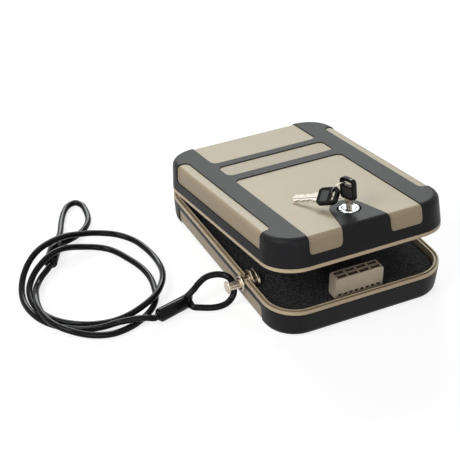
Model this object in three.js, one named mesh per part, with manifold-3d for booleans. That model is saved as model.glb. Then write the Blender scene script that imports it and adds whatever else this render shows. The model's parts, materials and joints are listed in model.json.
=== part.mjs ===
// Portable car safe: a keyed clamshell lock box with a tether cable on a stud.
// Millimetres, +Z up. Origin: centre of the underside. The hinge is at the back, +Y.
import * as THREE from "three";
import { mergeVertices } from "three/addons/utils/BufferGeometryUtils.js";
import Module from "manifold-3d";

const wasm = await Module();
wasm.setup();

// Overall body
const bodyWidth = 180;
const bodyDepth = 248;
const cornerRadius = 32;
const baseHeight = 28.4;
const lidHeight = 30.6;
const seamGap = 0.4;
const restOpening = 9.3;
const baseEdgeRadius = 6;
const lidEdgeRadius = 6;
const leastEdgeRadius = 0.5;
const sideDraft = 1.8;

// Walls: a dark moulded skin over a tan shell that shows through its windows
const partGap = 0.3;
const skinWall = 2;
const shellWall = 2.5;
const panelRecess = 1;
const rimInset = 0.3;
const rimHeight = 3.3;
const grooveInset = 1.6;
const grooveWidth = 1.8;
const grooveDepth = 1.6;
const tongueWidth = 0.9;
const tongueHeight = 1.2;
const tongueFromBack = 24;

// Windows in the skin, measured in from the sides, the ends and the back of the body
const stripInnerInset = 32.7;
const stripOuterInset = 14;
const sideWindowInset = 35;
const baseWindowTop = 19.6;
const lidWindowBottom = 12.8;
const windowRadius = 7;
const windowFootRadius = 4.5;
const frontPanelFromBack = 100.8;
const labelFrontFromBack = 89;
const labelRearFromBack = 63.8;
const rearPanelFromBack = 54.1;

// The tab under the lock: a round end with sides that flare to the front edge
const tabFrontHalfWidth = 24.3;
const tabEndRadius = 15.6;
const tabEndBehindLock = 3.5;

// Foam pads
const baseFoamTop = 23.6;
const lidFoamThickness = 5.6;
const foamLockRoom = 1.5;

// Latch keeper
const keeperX = -1.8;
const keeperWidth = 49;
const keeperDepth = 12.2;
const keeperFromFront = 12.5;
const keeperBelowLidTop = 16;
const keeperCornerRadius = 2.6;
const keeperFrontWall = 2.3;
const keeperCamClearance = 0.8;
const pocketColumns = 4;
const pocketPitch = 11.4;
const pocketLength = 9.4;
const pocketWidth = 3.6;
const pocketDepth = 5.4;
const pocketEdge = 1.3;
const footSlots = 8;
const footSlotPitch = 5.65;
const footSlotWidth = 3.2;
const footSlotHeight = 2.3;
const footSlotDepth = 3;
const keeperScrewSpread = 15;
const keeperScrewRadius = 1.9;
const keeperScrewHeadRadius = 3.8;
const keeperScrewHeadHeight = 1.5;
const keeperScrewDriverDepth = 1;
const keeperScrewDepth = 11;

// Hinge
const hingeOffset = 5.2;
const hingeFromSide = 35;
const barrelRadius = 4;
const lidKnuckle = 11.8;
const baseKnuckle = 7.8;
const hingePinRadius = 1.5;
const hingeBoreRadius = 1.62;
const hingePinHead = 1.2;
const hingePinHeadRadius = 2.6;

// Lock: its face sits in a cup sunk into the tab
const lockFromFront = 32.5;
const lockFaceRadius = 9.4;
const lockFaceProud = 1;
const lockFaceEdge = 0.6;
const lockBodyRadius = 8.2;
const lockBodyFlat = 7.1;
const lockLength = 24.6;
const lockCupRadius = 11.1;
const lockCupDepth = 2.6;
const lockCupWall = 1.6;
const lockCupFloor = 1.2;
const lockNutFlats = 20;
const lockNutHeight = 4.3;
const plugRadius = 5.6;
const plugHeadRadius = 6.6;
const plugHeadHeight = 1.5;
const camTipClearance = 0.5;
const camWidth = 10;
const camThickness = 2;
const camHubRadius = 6.6;
const camSquare = 6;
const camWasherRadius = 5.2;
const camWasherHeight = 0.8;
const camScrewRadius = 1.7;
const camScrewHeadRadius = 3.4;
const camScrewHeadHeight = 1.8;
const camScrewDepth = 3.4;
const camScrewSlotWidth = 1;
const camScrewSlotDepth = 0.9;
const camClearance = 0.3;

// Keys
const keyHeadWidth = 17.4;
const keyHeadLength = 20;
const keyHeadThickness = 3.8;
const keyNeckWidth = 13.2;
const keyNeckTaper = 2.2;
const keyNeckRadius = 0.5;
const keyHeadLowRadius = 1.5;
const keyHeadRadius = 5;
const keySlotLength = 12.2;
const keySlotWidth = 4.4;
const keySlotFromEnd = 5.2;
const keyRecessWidth = 12.2;
const keyRecessFrom = 2.4;
const keyRecessTo = 10.6;
const keyRecessRadius = 1.2;
const keyRecessDepth = 0.4;
const keyBladeLength = 26.4;
const keyBladeWidth = 7;
const keyBladeThickness = 1.8;
const keyShoulderWidth = 8.6;
const keyShoulderLength = 4.6;
const keyTang = 4.3;
const keyTangInset = 0.5;
const keyTipLength = 2.6;
const keyTipHalfWidth = 0.8;
const keyCutDepth = 0.9;
const keyCuts = 3;
const keyCutMargin = 1;
const keyGroovePlaces = [-0.9, 1.1];
const keyGrooveWidth = 0.8;
const keyGrooveDepth = 0.45;
const keyTurn = -76;
const keyNeckLength = 8.6;

// The ring and the spare key, placed from the foot of the first key's head
const ringWire = 0.6;
const ringRadius = 9.517;
const ringFromKey = [-3.331, 6.338, 6.469];
const ringAxis = [0.148, 0.92, 0.364];
const spareFromKey = [-9.79, 10.441, 1.259];
const spareHeading = -54.66;
const sparePitch = 12.767;
const spareRoll = 32.343;

// Cable stud, on a line along X
const studFromFront = 71;
const studBelowRim = 6.7;
const studNeckRadius = 3.6;
const studShankRadius = 3.8;
const studShankLength = 11.4;
const studHeadRadius = 5.9;
const studHeadLength = 1.8;
const studCollarRadius = 7;
const studCollarLength = 2;
const studEdge = 0.7;
const studFlangeRadius = 6;
const studFlangeLength = 0.9;
const studSpindleRadius = 3.2;
const studSpindleProud = 0.6;
const studNutFlats = 20;
const studNutLength = 2.2;
const studNutHubRadius = 5.6;
const studNutHubLength = 1.9;
const studDiscRadius = 10.6;
const studDiscLength = 2.4;
const studPlay = 0.4;
const studSlotReach = 10;
const studWallClearance = 1.2;

// Tether cable; the stops further down are drawn for a stud that leaves the body at tetherDrawnAt
const cableDiameter = 6;
const tetherDrawnAt = [-90, -53];
const ferruleRadius = 6.5;
const ferruleLength = 32;
const ferruleEdge = 0.8;
const ferruleCollarRadius = 4.2;
const ferruleCollarLength = 2.2;
const ferruleHeight = 6.6;
const nearFerrule = [-140.4, -37.8];
const nearFerruleHeading = 195.8;
const nearEyeRise = -54;
const farFerrule = [-214.6, 99.4];
const farFerruleHeading = 240.5;
const farEyeRise = 0;
const strandSpread = 3.5;
const cableSides = 8;
const cableStepsPerTurn = 24;
const eyeSteps = 34;

// Fineness of round forms, and how far a cutting solid runs past what it cuts
const roundSteps = 9;
const edgeSteps = 4;
const circleSides = 32;
const smallCircleSides = 24;
const screwSides = 16;
const over = 1;

// Places worked out from the sizes above
const front = -bodyDepth / 2;
const back = bodyDepth / 2;
const lidBottom = baseHeight + seamGap;
const hingeZ = baseHeight + seamGap / 2;
const hingeX = bodyWidth / 2 - hingeFromSide;
const hingeY = back + hingeOffset;
const cavityInset = skinWall + partGap + shellWall;
const foamInset = cavityInset + partGap;
const stripInner = bodyWidth / 2 - stripInnerInset;
const stripOuter = bodyWidth / 2 - stripOuterInset;
const keeperFront = front + keeperFromFront;
const keeperRear = keeperFront + keeperDepth;
const keeperTop = baseHeight + lidHeight - keeperBelowLidTop;
const lockY = front + lockFromFront;
const lockTop = lidHeight + lockFaceProud;
const lockBottom = lockTop - lockLength;
const lockCupTop = lidHeight - lockCupDepth;
const lockCupBottom = lockCupTop - lockCupFloor;
const lockCupOuter = lockCupRadius + lockCupWall;
const camTop = lockBottom - camClearance;
const camBottom = camTop - camThickness;
const camLength = lockY - keeperFront - keeperFrontWall - camTipClearance;
const keyBase = lockTop + keyNeckLength;
const studY = front + studFromFront;
const studZ = baseHeight - studBelowRim;

// A closed three.js mesh as a solid that can be joined and cut.
function solid(geometry) {
  const plain = geometry.clone();
  plain.deleteAttribute("normal");
  plain.deleteAttribute("uv");
  const merged = mergeVertices(plain, 1e-4);
  const vertProperties = merged.attributes.position.array;
  const triVerts = new Uint32Array(merged.index.array);
  return new wasm.Manifold(new wasm.Mesh({ numProp: 3, vertProperties, triVerts }));
}

// The vertices and triangles of a solid as a three.js geometry.
function geometryOf(body) {
  const mesh = body.getMesh();
  const geometry = new THREE.BufferGeometry();
  geometry.setAttribute("position", new THREE.BufferAttribute(mesh.vertProperties, 3));
  geometry.setIndex(new THREE.BufferAttribute(mesh.triVerts, 1));
  geometry.computeVertexNormals();
  return geometry;
}

function join(first, ...rest) {
  return rest.reduce((body, more) => body.add(more), first);
}

function cut(first, ...rest) {
  return rest.reduce((body, less) => body.subtract(less), first);
}

function box(x0, x1, y0, y1, z0, z1) {
  const geometry = new THREE.BoxGeometry(x1 - x0, y1 - y0, z1 - z0);
  geometry.translate((x0 + x1) / 2, (y0 + y1) / 2, (z0 + z1) / 2);
  return solid(geometry);
}

// Round bar along Z.
function bar(radius, from, to, x = 0, y = 0, sides = circleSides) {
  const geometry = new THREE.CylinderGeometry(radius, radius, to - from, sides);
  geometry.rotateX(Math.PI / 2);
  geometry.translate(x, y, (from + to) / 2);
  return solid(geometry);
}

function barAlongX(radius, from, to, y, z, sides = circleSides) {
  const geometry = new THREE.CylinderGeometry(radius, radius, to - from, sides);
  geometry.rotateZ(Math.PI / 2);
  geometry.translate((from + to) / 2, y, z);
  return solid(geometry);
}

function hexagon(flats, from, to) {
  return new THREE.CylinderGeometry(flats / Math.sqrt(3), flats / Math.sqrt(3), to - from, 6);
}

// One closed outline of a rounded rectangle at height z.
function ring(halfX, halfY, radius, z) {
  const points = [];
  const corners = [[1, 1], [-1, 1], [-1, -1], [1, -1]];
  corners.forEach(([sx, sy], quarter) => {
    for (let i = 0; i <= roundSteps; i++) {
      const angle = ((quarter + i / roundSteps) * Math.PI) / 2;
      const x = sx * (halfX - radius) + radius * Math.cos(angle);
      const y = sy * (halfY - radius) + radius * Math.sin(angle);
      points.push([x, y, z]);
    }
  });
  return points;
}

// A solid through rings of equal count, lowest first.
function loft(rings) {
  const count = rings[0].length;
  const positions = rings.flat(2);
  const index = [];
  for (let r = 0; r < rings.length - 1; r++) {
    for (let i = 0; i < count; i++) {
      const a = r * count + i;
      const b = r * count + ((i + 1) % count);
      index.push(a, b, b + count, a, b + count, a + count);
    }
  }
  const top = (rings.length - 1) * count;
  for (let i = 1; i < count - 1; i++) {
    index.push(0, i + 1, i, top, top + i, top + i + 1);
  }
  const geometry = new THREE.BufferGeometry();
  geometry.setAttribute("position", new THREE.Float32BufferAttribute(positions, 3));
  geometry.setIndex(index);
  return solid(geometry);
}

// The body's outer form moved inwards by inset, from its closed face at depth 0 to depth end.
// Depth runs from the underside up in the base, and from the top down in the lid.
function form(inset, height, edgeRadius, end) {
  const radius = Math.max(edgeRadius - inset, leastEdgeRadius);
  const profile = [];
  for (let i = 0; i <= edgeSteps; i++) {
    const angle = (i / edgeSteps) * (Math.PI / 2);
    const side = sideDraft + inset + radius * (1 - Math.sin(angle));
    profile.push([inset + radius * (1 - Math.cos(angle)), side]);
  }
  profile.push([end, inset + sideDraft * Math.max(0, 1 - end / height)]);
  return profile;
}

function ringsOf(profile, place) {
  const rings = profile.map(([depth, inset]) =>
    ring(bodyWidth / 2 - inset, bodyDepth / 2 - inset, cornerRadius - inset, place(depth)),
  );
  return rings[0][0][2] > rings[rings.length - 1][0][2] ? rings.reverse() : rings;
}

function baseForm(inset, end = baseHeight) {
  return loft(ringsOf(form(inset, baseHeight, baseEdgeRadius, end), (depth) => depth));
}

function lidForm(inset, end = lidHeight) {
  return loft(ringsOf(form(inset, lidHeight, lidEdgeRadius, end), (depth) => lidHeight - depth));
}

// A straight-sided wall of the body's outline between two insets and two heights.
function band(outer, inner, from, to) {
  const outline = (inset, z) =>
    ring(bodyWidth / 2 - inset, bodyDepth / 2 - inset, cornerRadius - inset, z);
  const hole = loft([outline(inner, from - over), outline(inner, to + over)]);
  return loft([outline(outer, from), outline(outer, to)]).subtract(hole);
}

// A 2D outline with each corner rounded to its own radius.
function roundedShape(corners) {
  const shape = new THREE.Shape();
  const count = corners.length;
  corners.forEach(([x, y, radius], i) => {
    const [px, py] = corners[(i + count - 1) % count];
    const [nx, ny] = corners[(i + 1) % count];
    const before = new THREE.Vector2(px - x, py - y).normalize().multiplyScalar(radius);
    const after = new THREE.Vector2(nx - x, ny - y).normalize().multiplyScalar(radius);
    if (i === 0) shape.moveTo(x + before.x, y + before.y);
    else shape.lineTo(x + before.x, y + before.y);
    if (radius > 0) shape.quadraticCurveTo(x, y, x + after.x, y + after.y);
  });
  shape.closePath();
  return shape;
}

function rectangle(x0, x1, y0, y1, [lowRadius, highRadius]) {
  return roundedShape([
    [x0, y0, lowRadius],
    [x1, y0, lowRadius],
    [x1, y1, highRadius],
    [x0, y1, highRadius],
  ]);
}

function extrude(shape, length) {
  return new THREE.ExtrudeGeometry(shape, { depth: length, bevelEnabled: false, curveSegments: 5 });
}

// Outline in X and Y, pulled along Z.
function planPrism(shape, from, to) {
  const geometry = extrude(shape, to - from);
  geometry.translate(0, 0, from);
  return solid(geometry);
}

// Outline in X and Z, pulled along Y.
function frontPrism(shape, from, to) {
  const geometry = extrude(shape, to - from);
  geometry.rotateX(Math.PI / 2);
  geometry.translate(0, to, 0);
  return solid(geometry);
}

// Outline in Y and Z, pulled along X.
function sidePrism(shape, from, to) {
  const geometry = extrude(shape, to - from);
  geometry.rotateZ(Math.PI / 2);
  geometry.rotateY(Math.PI / 2);
  geometry.translate(from, 0, 0);
  return solid(geometry);
}

// Side windows of one half; they wrap over the long edge, x from stripOuter outwards.
function sideWindows(shrink, low, high, radii) {
  const reach = bodyWidth;
  const half = bodyDepth / 2 - sideWindowInset - shrink;
  const radius = windowRadius - shrink;
  const inner = stripOuter + shrink;
  const profile = rectangle(-half, half, low, high, radii);
  const right = sidePrism(profile, inner, reach).intersect(
    planPrism(rectangle(inner, reach, -half, half, [radius, radius]), low - over, high + over),
  );
  return right.add(right.mirror([1, 0, 0]));
}

function baseWindows(shrink) {
  return sideWindows(shrink, -baseHeight, baseWindowTop - shrink, [0, windowFootRadius - shrink]);
}

// The dark tab that carries the lock, grown by grow.
function tab(grow) {
  const half = tabFrontHalfWidth + grow;
  const radius = tabEndRadius + grow;
  const centre = lockY + tabEndBehindLock;
  const toFront = centre - front;
  const start = Math.acos(radius / Math.hypot(half, toFront)) - Math.atan2(toFront, half);
  const shape = new THREE.Shape();
  shape.moveTo(-half, front - over);
  shape.lineTo(half, front - over);
  shape.lineTo(half, front);
  shape.absarc(0, centre, radius, start, Math.PI - start, false);
  shape.lineTo(-half, front);
  shape.closePath();
  return planPrism(shape, -over, lidHeight * 2);
}

// Seen from the front, the foot of each front panel is also round on the side of the tab.
function besideTab(shrink, half, bottom, foot) {
  const inner = tabFrontHalfWidth + shrink;
  const footTop = bottom + 2 * foot;
  const upper = box(-half, half, -bodyDepth, bodyDepth, bottom + foot, lidHeight * 2);
  const left = rectangle(-half, -inner, bottom, footTop, [foot, 0]);
  const right = rectangle(inner, half, bottom, footTop, [foot, 0]);
  return join(upper, ...[left, right].map((shape) => frontPrism(shape, -bodyDepth, bodyDepth)));
}

function lidWindows(shrink) {
  const half = stripInner - shrink;
  const radius = windowRadius - shrink;
  const foot = windowFootRadius - shrink;
  const bottom = lidWindowBottom + shrink;
  const top = lidHeight * 2;
  const frontEnd = back - frontPanelFromBack - shrink;
  const labelFront = back - labelFrontFromBack + shrink;
  const labelRear = back - labelRearFromBack - shrink;
  const rearStart = back - rearPanelFromBack + shrink;
  const walls = frontPrism(rectangle(-half, half, bottom, top, [foot, 0]), -bodyDepth, bodyDepth);
  const panels = join(
    planPrism(rectangle(-half, half, -bodyDepth, frontEnd, [0, radius]), -over, top)
      .subtract(tab(shrink))
      .intersect(besideTab(shrink, half, bottom, foot)),
    planPrism(rectangle(-half, half, labelFront, labelRear, [radius, radius]), lidHeight / 2, top),
    planPrism(rectangle(-half, half, rearStart, bodyDepth, [radius, 0]), -over, top),
  );
  return join(panels.intersect(walls), sideWindows(shrink, bottom, top, [foot, 0]));
}

// Slot for the stud, open at the rim, wide enough for radius.
function studSlot(radius, to, top) {
  return join(
    barAlongX(radius, -bodyWidth, to, studY, studZ),
    box(-bodyWidth, to, studY - radius, studY + radius, studZ, top),
  );
}

function wallSlot() {
  return studSlot(studNeckRadius + studPlay, -bodyWidth / 2 + studSlotReach, baseHeight * 2);
}

// Everything between two heights, far past the body's outline.
function layer(from, to) {
  return box(-bodyWidth, bodyWidth, -bodyDepth, bodyDepth, from, to);
}

const keeperScrewPlaces = [keeperX - keeperScrewSpread, keeperX + keeperScrewSpread];
const keeperMiddle = (keeperFront + keeperRear) / 2;
const screwHeadTop = skinWall;
const screwHeadBottom = screwHeadTop - keeperScrewHeadHeight;
const screwTop = cavityInset + partGap + keeperScrewDepth;

function keeperHoles(radius, from, to) {
  const hole = (x) => bar(radius, from, to, x, keeperMiddle, smallCircleSides);
  return join(...keeperScrewPlaces.map(hole));
}

// Knuckles of one half: barrels along X on the hinge line, with a web to the rim.
function knuckles(spans, webLow, webHigh, axisZ) {
  const webInner = back - cavityInset + over;
  const made = spans.map(([from, to]) => {
    const barrel = barAlongX(barrelRadius, from, to, hingeY, axisZ, smallCircleSides);
    const web = box(from, to, webInner, hingeY, webLow, webHigh);
    return barrel.add(web);
  });
  const bore = join(...[-hingeX, hingeX].map((x) =>
    barAlongX(hingeBoreRadius, x - hingeX / 2, x + hingeX / 2, hingeY, axisZ, smallCircleSides),
  ));
  return join(...made).subtract(bore);
}

const baseKnuckleSpans = [-hingeX, hingeX].flatMap((x) => {
  const inner = lidKnuckle / 2 + partGap;
  return [
    [x - inner - baseKnuckle, x - inner],
    [x + inner, x + inner + baseKnuckle],
  ];
});
const lidKnuckleSpans = [-hingeX, hingeX].map((x) => [x - lidKnuckle / 2, x + lidKnuckle / 2]);

function baseShell() {
  const pads = baseForm(panelRecess).intersect(baseWindows(partGap));
  const rim = band(rimInset, cavityInset, baseHeight - rimHeight, baseHeight);
  const body = join(baseForm(skinWall + partGap), pads, rim);
  const hollow = baseForm(cavityInset, baseHeight + over);
  const groove = band(
    grooveInset,
    grooveInset + grooveWidth,
    baseHeight - grooveDepth,
    baseHeight + over,
  );
  const webLow = baseHeight - rimHeight + partGap / 2;
  const joined = cut(body, hollow, groove).add(
    knuckles(baseKnuckleSpans, webLow, baseHeight, hingeZ).subtract(groove),
  );
  const holes = keeperHoles(keeperScrewRadius + partGap, -over, baseHeight / 2);
  return cut(joined, wallSlot(), holes);
}

function baseSkin() {
  const outer = baseForm(0, baseHeight).intersect(layer(-over, baseHeight - rimHeight - partGap));
  const inner = baseForm(skinWall, baseHeight + over);
  const holes = keeperHoles(keeperScrewHeadRadius + partGap, -over, skinWall + over);
  return cut(outer, inner, baseWindows(0), wallSlot(), holes);
}

function baseFoam() {
  const hollow = baseForm(foamInset, baseHeight).intersect(layer(0, baseFoamTop));
  const half = keeperWidth / 2 + partGap;
  const keeperRoom = box(
    keeperX - half,
    keeperX + half,
    keeperFront - partGap,
    keeperRear + partGap,
    0,
    baseHeight,
  );
  const discEnd = studSpindleEnd + 2 * partGap;
  const widest = Math.max(studDiscRadius, studNutFlats / Math.sqrt(3));
  const studRoom = studSlot(widest + 2 * partGap, discEnd, baseHeight);
  return cut(hollow, keeperRoom, studRoom);
}

const keeperSlotLow = lidBottom + camBottom - keeperCamClearance;
const keeperSlotHigh = lidBottom + camTop + keeperCamClearance;

// Rows of pockets in the keeper's top.
function keeperPockets() {
  const rows = [keeperFront + pocketEdge, keeperRear - pocketEdge - pocketWidth];
  const low = keeperTop - pocketDepth;
  const pockets = [];
  for (let column = 0; column < pocketColumns; column++) {
    const x = keeperX + (column - (pocketColumns - 1) / 2) * pocketPitch;
    const length = pocketLength / 2;
    for (const y of rows) {
      pockets.push(box(x - length, x + length, y, y + pocketWidth, low, keeperTop + over));
    }
  }
  return pockets;
}

// Notches along the foot of the keeper's front, just over the foam.
function keeperFootSlots() {
  const low = baseFoamTop + partGap;
  const slots = [];
  for (let i = 0; i < footSlots; i++) {
    const x = keeperX + (i - (footSlots - 1) / 2) * footSlotPitch;
    const half = footSlotWidth / 2;
    const deep = keeperFront + footSlotDepth;
    slots.push(box(x - half, x + half, keeperFront - over, deep, low, low + footSlotHeight));
  }
  return slots;
}

// The room in the keeper that the cam turns through.
function keeperCamSlot() {
  const camSweep = Math.hypot(camLength, camWidth / 2) + keeperCamClearance;
  const reach = Math.sqrt(camSweep ** 2 - (lockY - keeperRear) ** 2);
  return box(
    -camWidth / 2 - keeperCamClearance,
    reach + keeperCamClearance,
    keeperFront + keeperFrontWall,
    keeperRear + over,
    keeperSlotLow,
    keeperSlotHigh,
  );
}

function latchKeeper() {
  const low = keeperX - keeperWidth / 2;
  const high = keeperX + keeperWidth / 2;
  const outline = rectangle(low, high, foamInset, keeperTop, [0, keeperCornerRadius]);
  return cut(
    frontPrism(outline, keeperFront, keeperRear),
    keeperCamSlot(),
    ...keeperPockets(),
    ...keeperFootSlots(),
    keeperHoles(keeperScrewRadius + partGap, 0, screwTop + partGap),
  );
}

function keeperScrew(x) {
  const headLow = screwHeadBottom;
  const head = bar(keeperScrewHeadRadius, headLow, screwHeadTop, x, keeperMiddle, smallCircleSides);
  const shaftLow = screwHeadTop - keeperScrewHeadHeight / 2;
  const shaft = bar(keeperScrewRadius, shaftLow, screwTop, x, keeperMiddle, screwSides);
  const driver = hexagon(keeperScrewHeadRadius, -keeperScrewDriverDepth, keeperScrewDriverDepth);
  driver.rotateX(Math.PI / 2);
  driver.translate(x, keeperMiddle, screwHeadBottom);
  return join(head, shaft).subtract(solid(driver));
}

function hingePin(x) {
  const half = lidKnuckle / 2 + partGap + baseKnuckle;
  const out = Math.sign(x);
  const headStart = x + out * (half + partGap);
  const headEnd = headStart + out * hingePinHead;
  const [low, high] = [x - out * half, headEnd].sort((a, b) => a - b);
  const headLow = Math.min(headStart, headEnd);
  return join(
    barAlongX(hingePinRadius, low, high, hingeY, hingeZ, smallCircleSides),
    barAlongX(hingePinHeadRadius, headLow, headLow + hingePinHead, hingeY, hingeZ, smallCircleSides),
  );
}

function lidShell() {
  const pads = lidForm(panelRecess).intersect(lidWindows(partGap));
  const rim = band(rimInset, cavityInset, 0, rimHeight);
  const middle = grooveInset + grooveWidth / 2;
  const tongue = band(
    middle - tongueWidth / 2,
    middle + tongueWidth / 2,
    -tongueHeight,
    rimHeight / 2,
  ).intersect(
    box(-bodyWidth, bodyWidth, -bodyDepth, back - tongueFromBack, -baseHeight, rimHeight),
  );
  const body = join(lidForm(skinWall + partGap), pads, rim);
  const hollow = lidForm(cavityInset, lidHeight + over);
  const webHigh = rimHeight - partGap / 2;
  return cut(body, hollow)
    .add(tongue)
    .add(knuckles(lidKnuckleSpans, 0, webHigh, hingeZ - lidBottom))
    .subtract(bar(lockCupOuter + partGap, lidHeight / 2, lidHeight * 2, 0, lockY));
}

function lidSkin() {
  const outer = lidForm(0, lidHeight).intersect(layer(rimHeight + partGap, lidHeight * 2));
  const lockHole = bar(lockCupRadius, lidHeight / 2, lidHeight * 2, 0, lockY);
  const bore = lockBodyRadius + partGap;
  const cupLip = lidHeight - skinWall / 2;
  const cup = [
    [bore, lockCupBottom],
    [lockCupOuter, lockCupBottom],
    [lockCupOuter, cupLip],
    [lockCupRadius, cupLip],
    [lockCupRadius, lockCupTop],
    [bore, lockCupTop],
    [bore, lockCupBottom],
  ];
  return cut(outer, lidForm(skinWall, lidHeight + over), lidWindows(0), lockHole)
    .add(turned(cup, 0, lockY));
}

function lidFoam() {
  const top = lidHeight - foamInset;
  const pad = lidForm(foamInset, lidHeight).intersect(layer(top - lidFoamThickness, lidHeight));
  const room = lockNutFlats / Math.sqrt(3) + foamLockRoom;
  return pad.subtract(bar(room, 0, lidHeight, 0, lockY));
}

// A round face over a threaded body with two flats, bored for the plug.
function lockHousing() {
  const faceBottom = lockCupTop + partGap;
  const bore = plugRadius + camClearance;
  const headBore = plugHeadRadius + camClearance;
  const headFloor = lockTop - plugHeadHeight - camClearance;
  const body = turned(
    [
      [bore, lockBottom],
      [lockBodyRadius, lockBottom],
      [lockBodyRadius, faceBottom],
      [lockFaceRadius, faceBottom],
      [lockFaceRadius, lockTop - lockFaceEdge],
      [lockFaceRadius - lockFaceEdge, lockTop],
      [headBore, lockTop],
      [headBore, headFloor],
      [bore, headFloor],
      [bore, lockBottom],
    ],
    0,
    lockY,
  );
  const flats = [-1, 1].map((side) => {
    const middle = lockY + side * (lockBodyFlat + lockFaceRadius / 2);
    const half = lockFaceRadius / 2;
    return box(
      -lockFaceRadius,
      lockFaceRadius,
      middle - half,
      middle + half,
      lockBottom - over,
      faceBottom - over / 2,
    );
  });
  return cut(body, ...flats);
}

// A profile of radius and height pairs turned about a line along Z.
function turned(profile, x, y) {
  const points = profile.map(([radius, z]) => new THREE.Vector2(radius, z));
  const geometry = new THREE.LatheGeometry(points, circleSides);
  geometry.rotateX(Math.PI / 2);
  geometry.translate(x, y, 0);
  return solid(geometry);
}

function lockNut() {
  const top = lockCupBottom - partGap;
  const blank = hexagon(lockNutFlats, 0, lockNutHeight);
  blank.rotateX(Math.PI / 2);
  blank.translate(0, lockY, top - lockNutHeight / 2);
  return solid(blank).subtract(bar(lockBodyRadius + partGap, 0, lidHeight, 0, lockY));
}

// The lock's turning parts are drawn on the Z axis, with the cam pointing to +X.
function lockPlug() {
  const square = camSquare / 2;
  const head = bar(plugHeadRadius, lockTop - plugHeadHeight, lockTop);
  const body = bar(plugRadius, lockBottom, lockTop - plugHeadHeight / 2);
  const foot = box(-square, square, -square, square, camBottom, lockBottom + over);
  const keywayFloor = keyBase - keyBladeLength - partGap;
  const wide = keyBladeWidth / 2 + partGap;
  const thick = keyBladeThickness / 2 + partGap;
  const keyway = box(-wide, wide, -thick, thick, keywayFloor, lockTop + over)
    .rotate([0, 0, keyTurn]);
  const screwEnd = camBottom + camScrewDepth;
  const screwHole = bar(camScrewRadius + partGap, camBottom - over, screwEnd, 0, 0, screwSides);
  return cut(join(head, body, foot), keyway, screwHole);
}

function lockCam() {
  const half = camWidth / 2;
  const outline = new THREE.Shape();
  outline.moveTo(0, -half);
  outline.lineTo(camLength - half, -half);
  outline.absarc(camLength - half, 0, half, -Math.PI / 2, Math.PI / 2, false);
  outline.lineTo(0, half);
  outline.absarc(0, 0, half, Math.PI / 2, (3 * Math.PI) / 2, false);
  const square = camSquare / 2 + partGap;
  return planPrism(outline, camBottom, camTop)
    .add(bar(camHubRadius, camBottom, camTop))
    .subtract(box(-square, square, -square, square, camBottom - over, camTop + over));
}

const washerTop = camBottom - camClearance;
const washerBottom = washerTop - camWasherHeight;
const camScrewTop = washerBottom - camClearance;
const camScrewBottom = camScrewTop - camScrewHeadHeight;

function camWasher() {
  return bar(camWasherRadius, washerBottom, washerTop)
    .subtract(bar(camScrewRadius + partGap, 0, lidHeight, 0, 0, screwSides));
}

function camScrew() {
  const head = bar(camScrewHeadRadius, camScrewBottom, camScrewTop, 0, 0, smallCircleSides);
  const shaftLow = camScrewTop - camScrewHeadHeight / 2;
  const shaftHigh = camBottom + camScrewDepth - partGap;
  const shaft = bar(camScrewRadius, shaftLow, shaftHigh, 0, 0, screwSides);
  const half = camScrewSlotWidth / 2;
  const long = camScrewHeadRadius - camScrewSlotDepth;
  const slots = [0, 90].map((angle) =>
    box(-long, long, -half, half, camScrewBottom - over, camScrewBottom + camScrewSlotDepth)
      .rotate([0, 0, angle]),
  );
  return cut(join(head, shaft), ...slots);
}

// A key stands on the origin of its own frame: head up Z, width along X, thickness along Y.
const keySlotZ = keyHeadLength - keySlotFromEnd;
const slotRoundness = 0.95;
const cutFrom = 0.35;
const cutTo = 0.6;
const cutEnd = 0.9;

function keyHead() {
  const half = keyHeadWidth / 2;
  const neck = keyNeckWidth / 2;
  const shape = roundedShape([
    [-neck, 0, keyNeckRadius],
    [neck, 0, keyNeckRadius],
    [half, keyNeckTaper, keyHeadLowRadius],
    [half, keyHeadLength, keyHeadRadius],
    [-half, keyHeadLength, keyHeadRadius],
    [-half, keyNeckTaper, keyHeadLowRadius],
  ]);
  const thick = keyHeadThickness / 2;
  const slotHalf = keySlotLength / 2;
  const slotTall = keySlotWidth / 2;
  const slotRound = [slotTall * slotRoundness, slotTall * slotRoundness];
  const slot = rectangle(-slotHalf, slotHalf, keySlotZ - slotTall, keySlotZ + slotTall, slotRound);
  const tangHalf = keyBladeWidth / 2 - keyTangInset + partGap;
  const tangThick = keyBladeThickness / 2 + partGap;
  const socket = box(-tangHalf, tangHalf, -tangThick, tangThick, -over, keyTang + partGap);
  const recessHalf = keyRecessWidth / 2;
  const recessRound = [keyRecessRadius, keyRecessRadius];
  const recess = rectangle(-recessHalf, recessHalf, keyRecessFrom, keyRecessTo, recessRound);
  const deep = thick - keyRecessDepth;
  return cut(
    frontPrism(shape, -thick, thick),
    frontPrism(slot, -thick - over, thick + over),
    socket,
    frontPrism(recess, deep, thick + over),
    frontPrism(recess, -thick - over, -deep),
  );
}

// Cuts along one edge of the blade as x, z pairs from the shoulder down; depths alternate.
function keyEdge(side, deepFirst) {
  const half = keyBladeWidth / 2;
  const shoulder = -keyShoulderLength;
  const pitch = (keyBladeLength - keyShoulderLength - keyTipLength - 2 * keyCutMargin) / keyCuts;
  const points = [[side * half, shoulder]];
  for (let i = 0; i < keyCuts; i++) {
    const z = shoulder - keyCutMargin - i * pitch;
    const deep = (i % 2 === 0) === deepFirst;
    const bottom = half - (deep ? keyCutDepth : keyCutDepth / 2);
    points.push(
      [side * half, z],
      [side * bottom, z - pitch * cutFrom],
      [side * bottom, z - pitch * cutTo],
      [side * half, z - pitch * cutEnd],
    );
  }
  points.push([side * half, keyTipLength - keyBladeLength]);
  return points;
}

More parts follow.
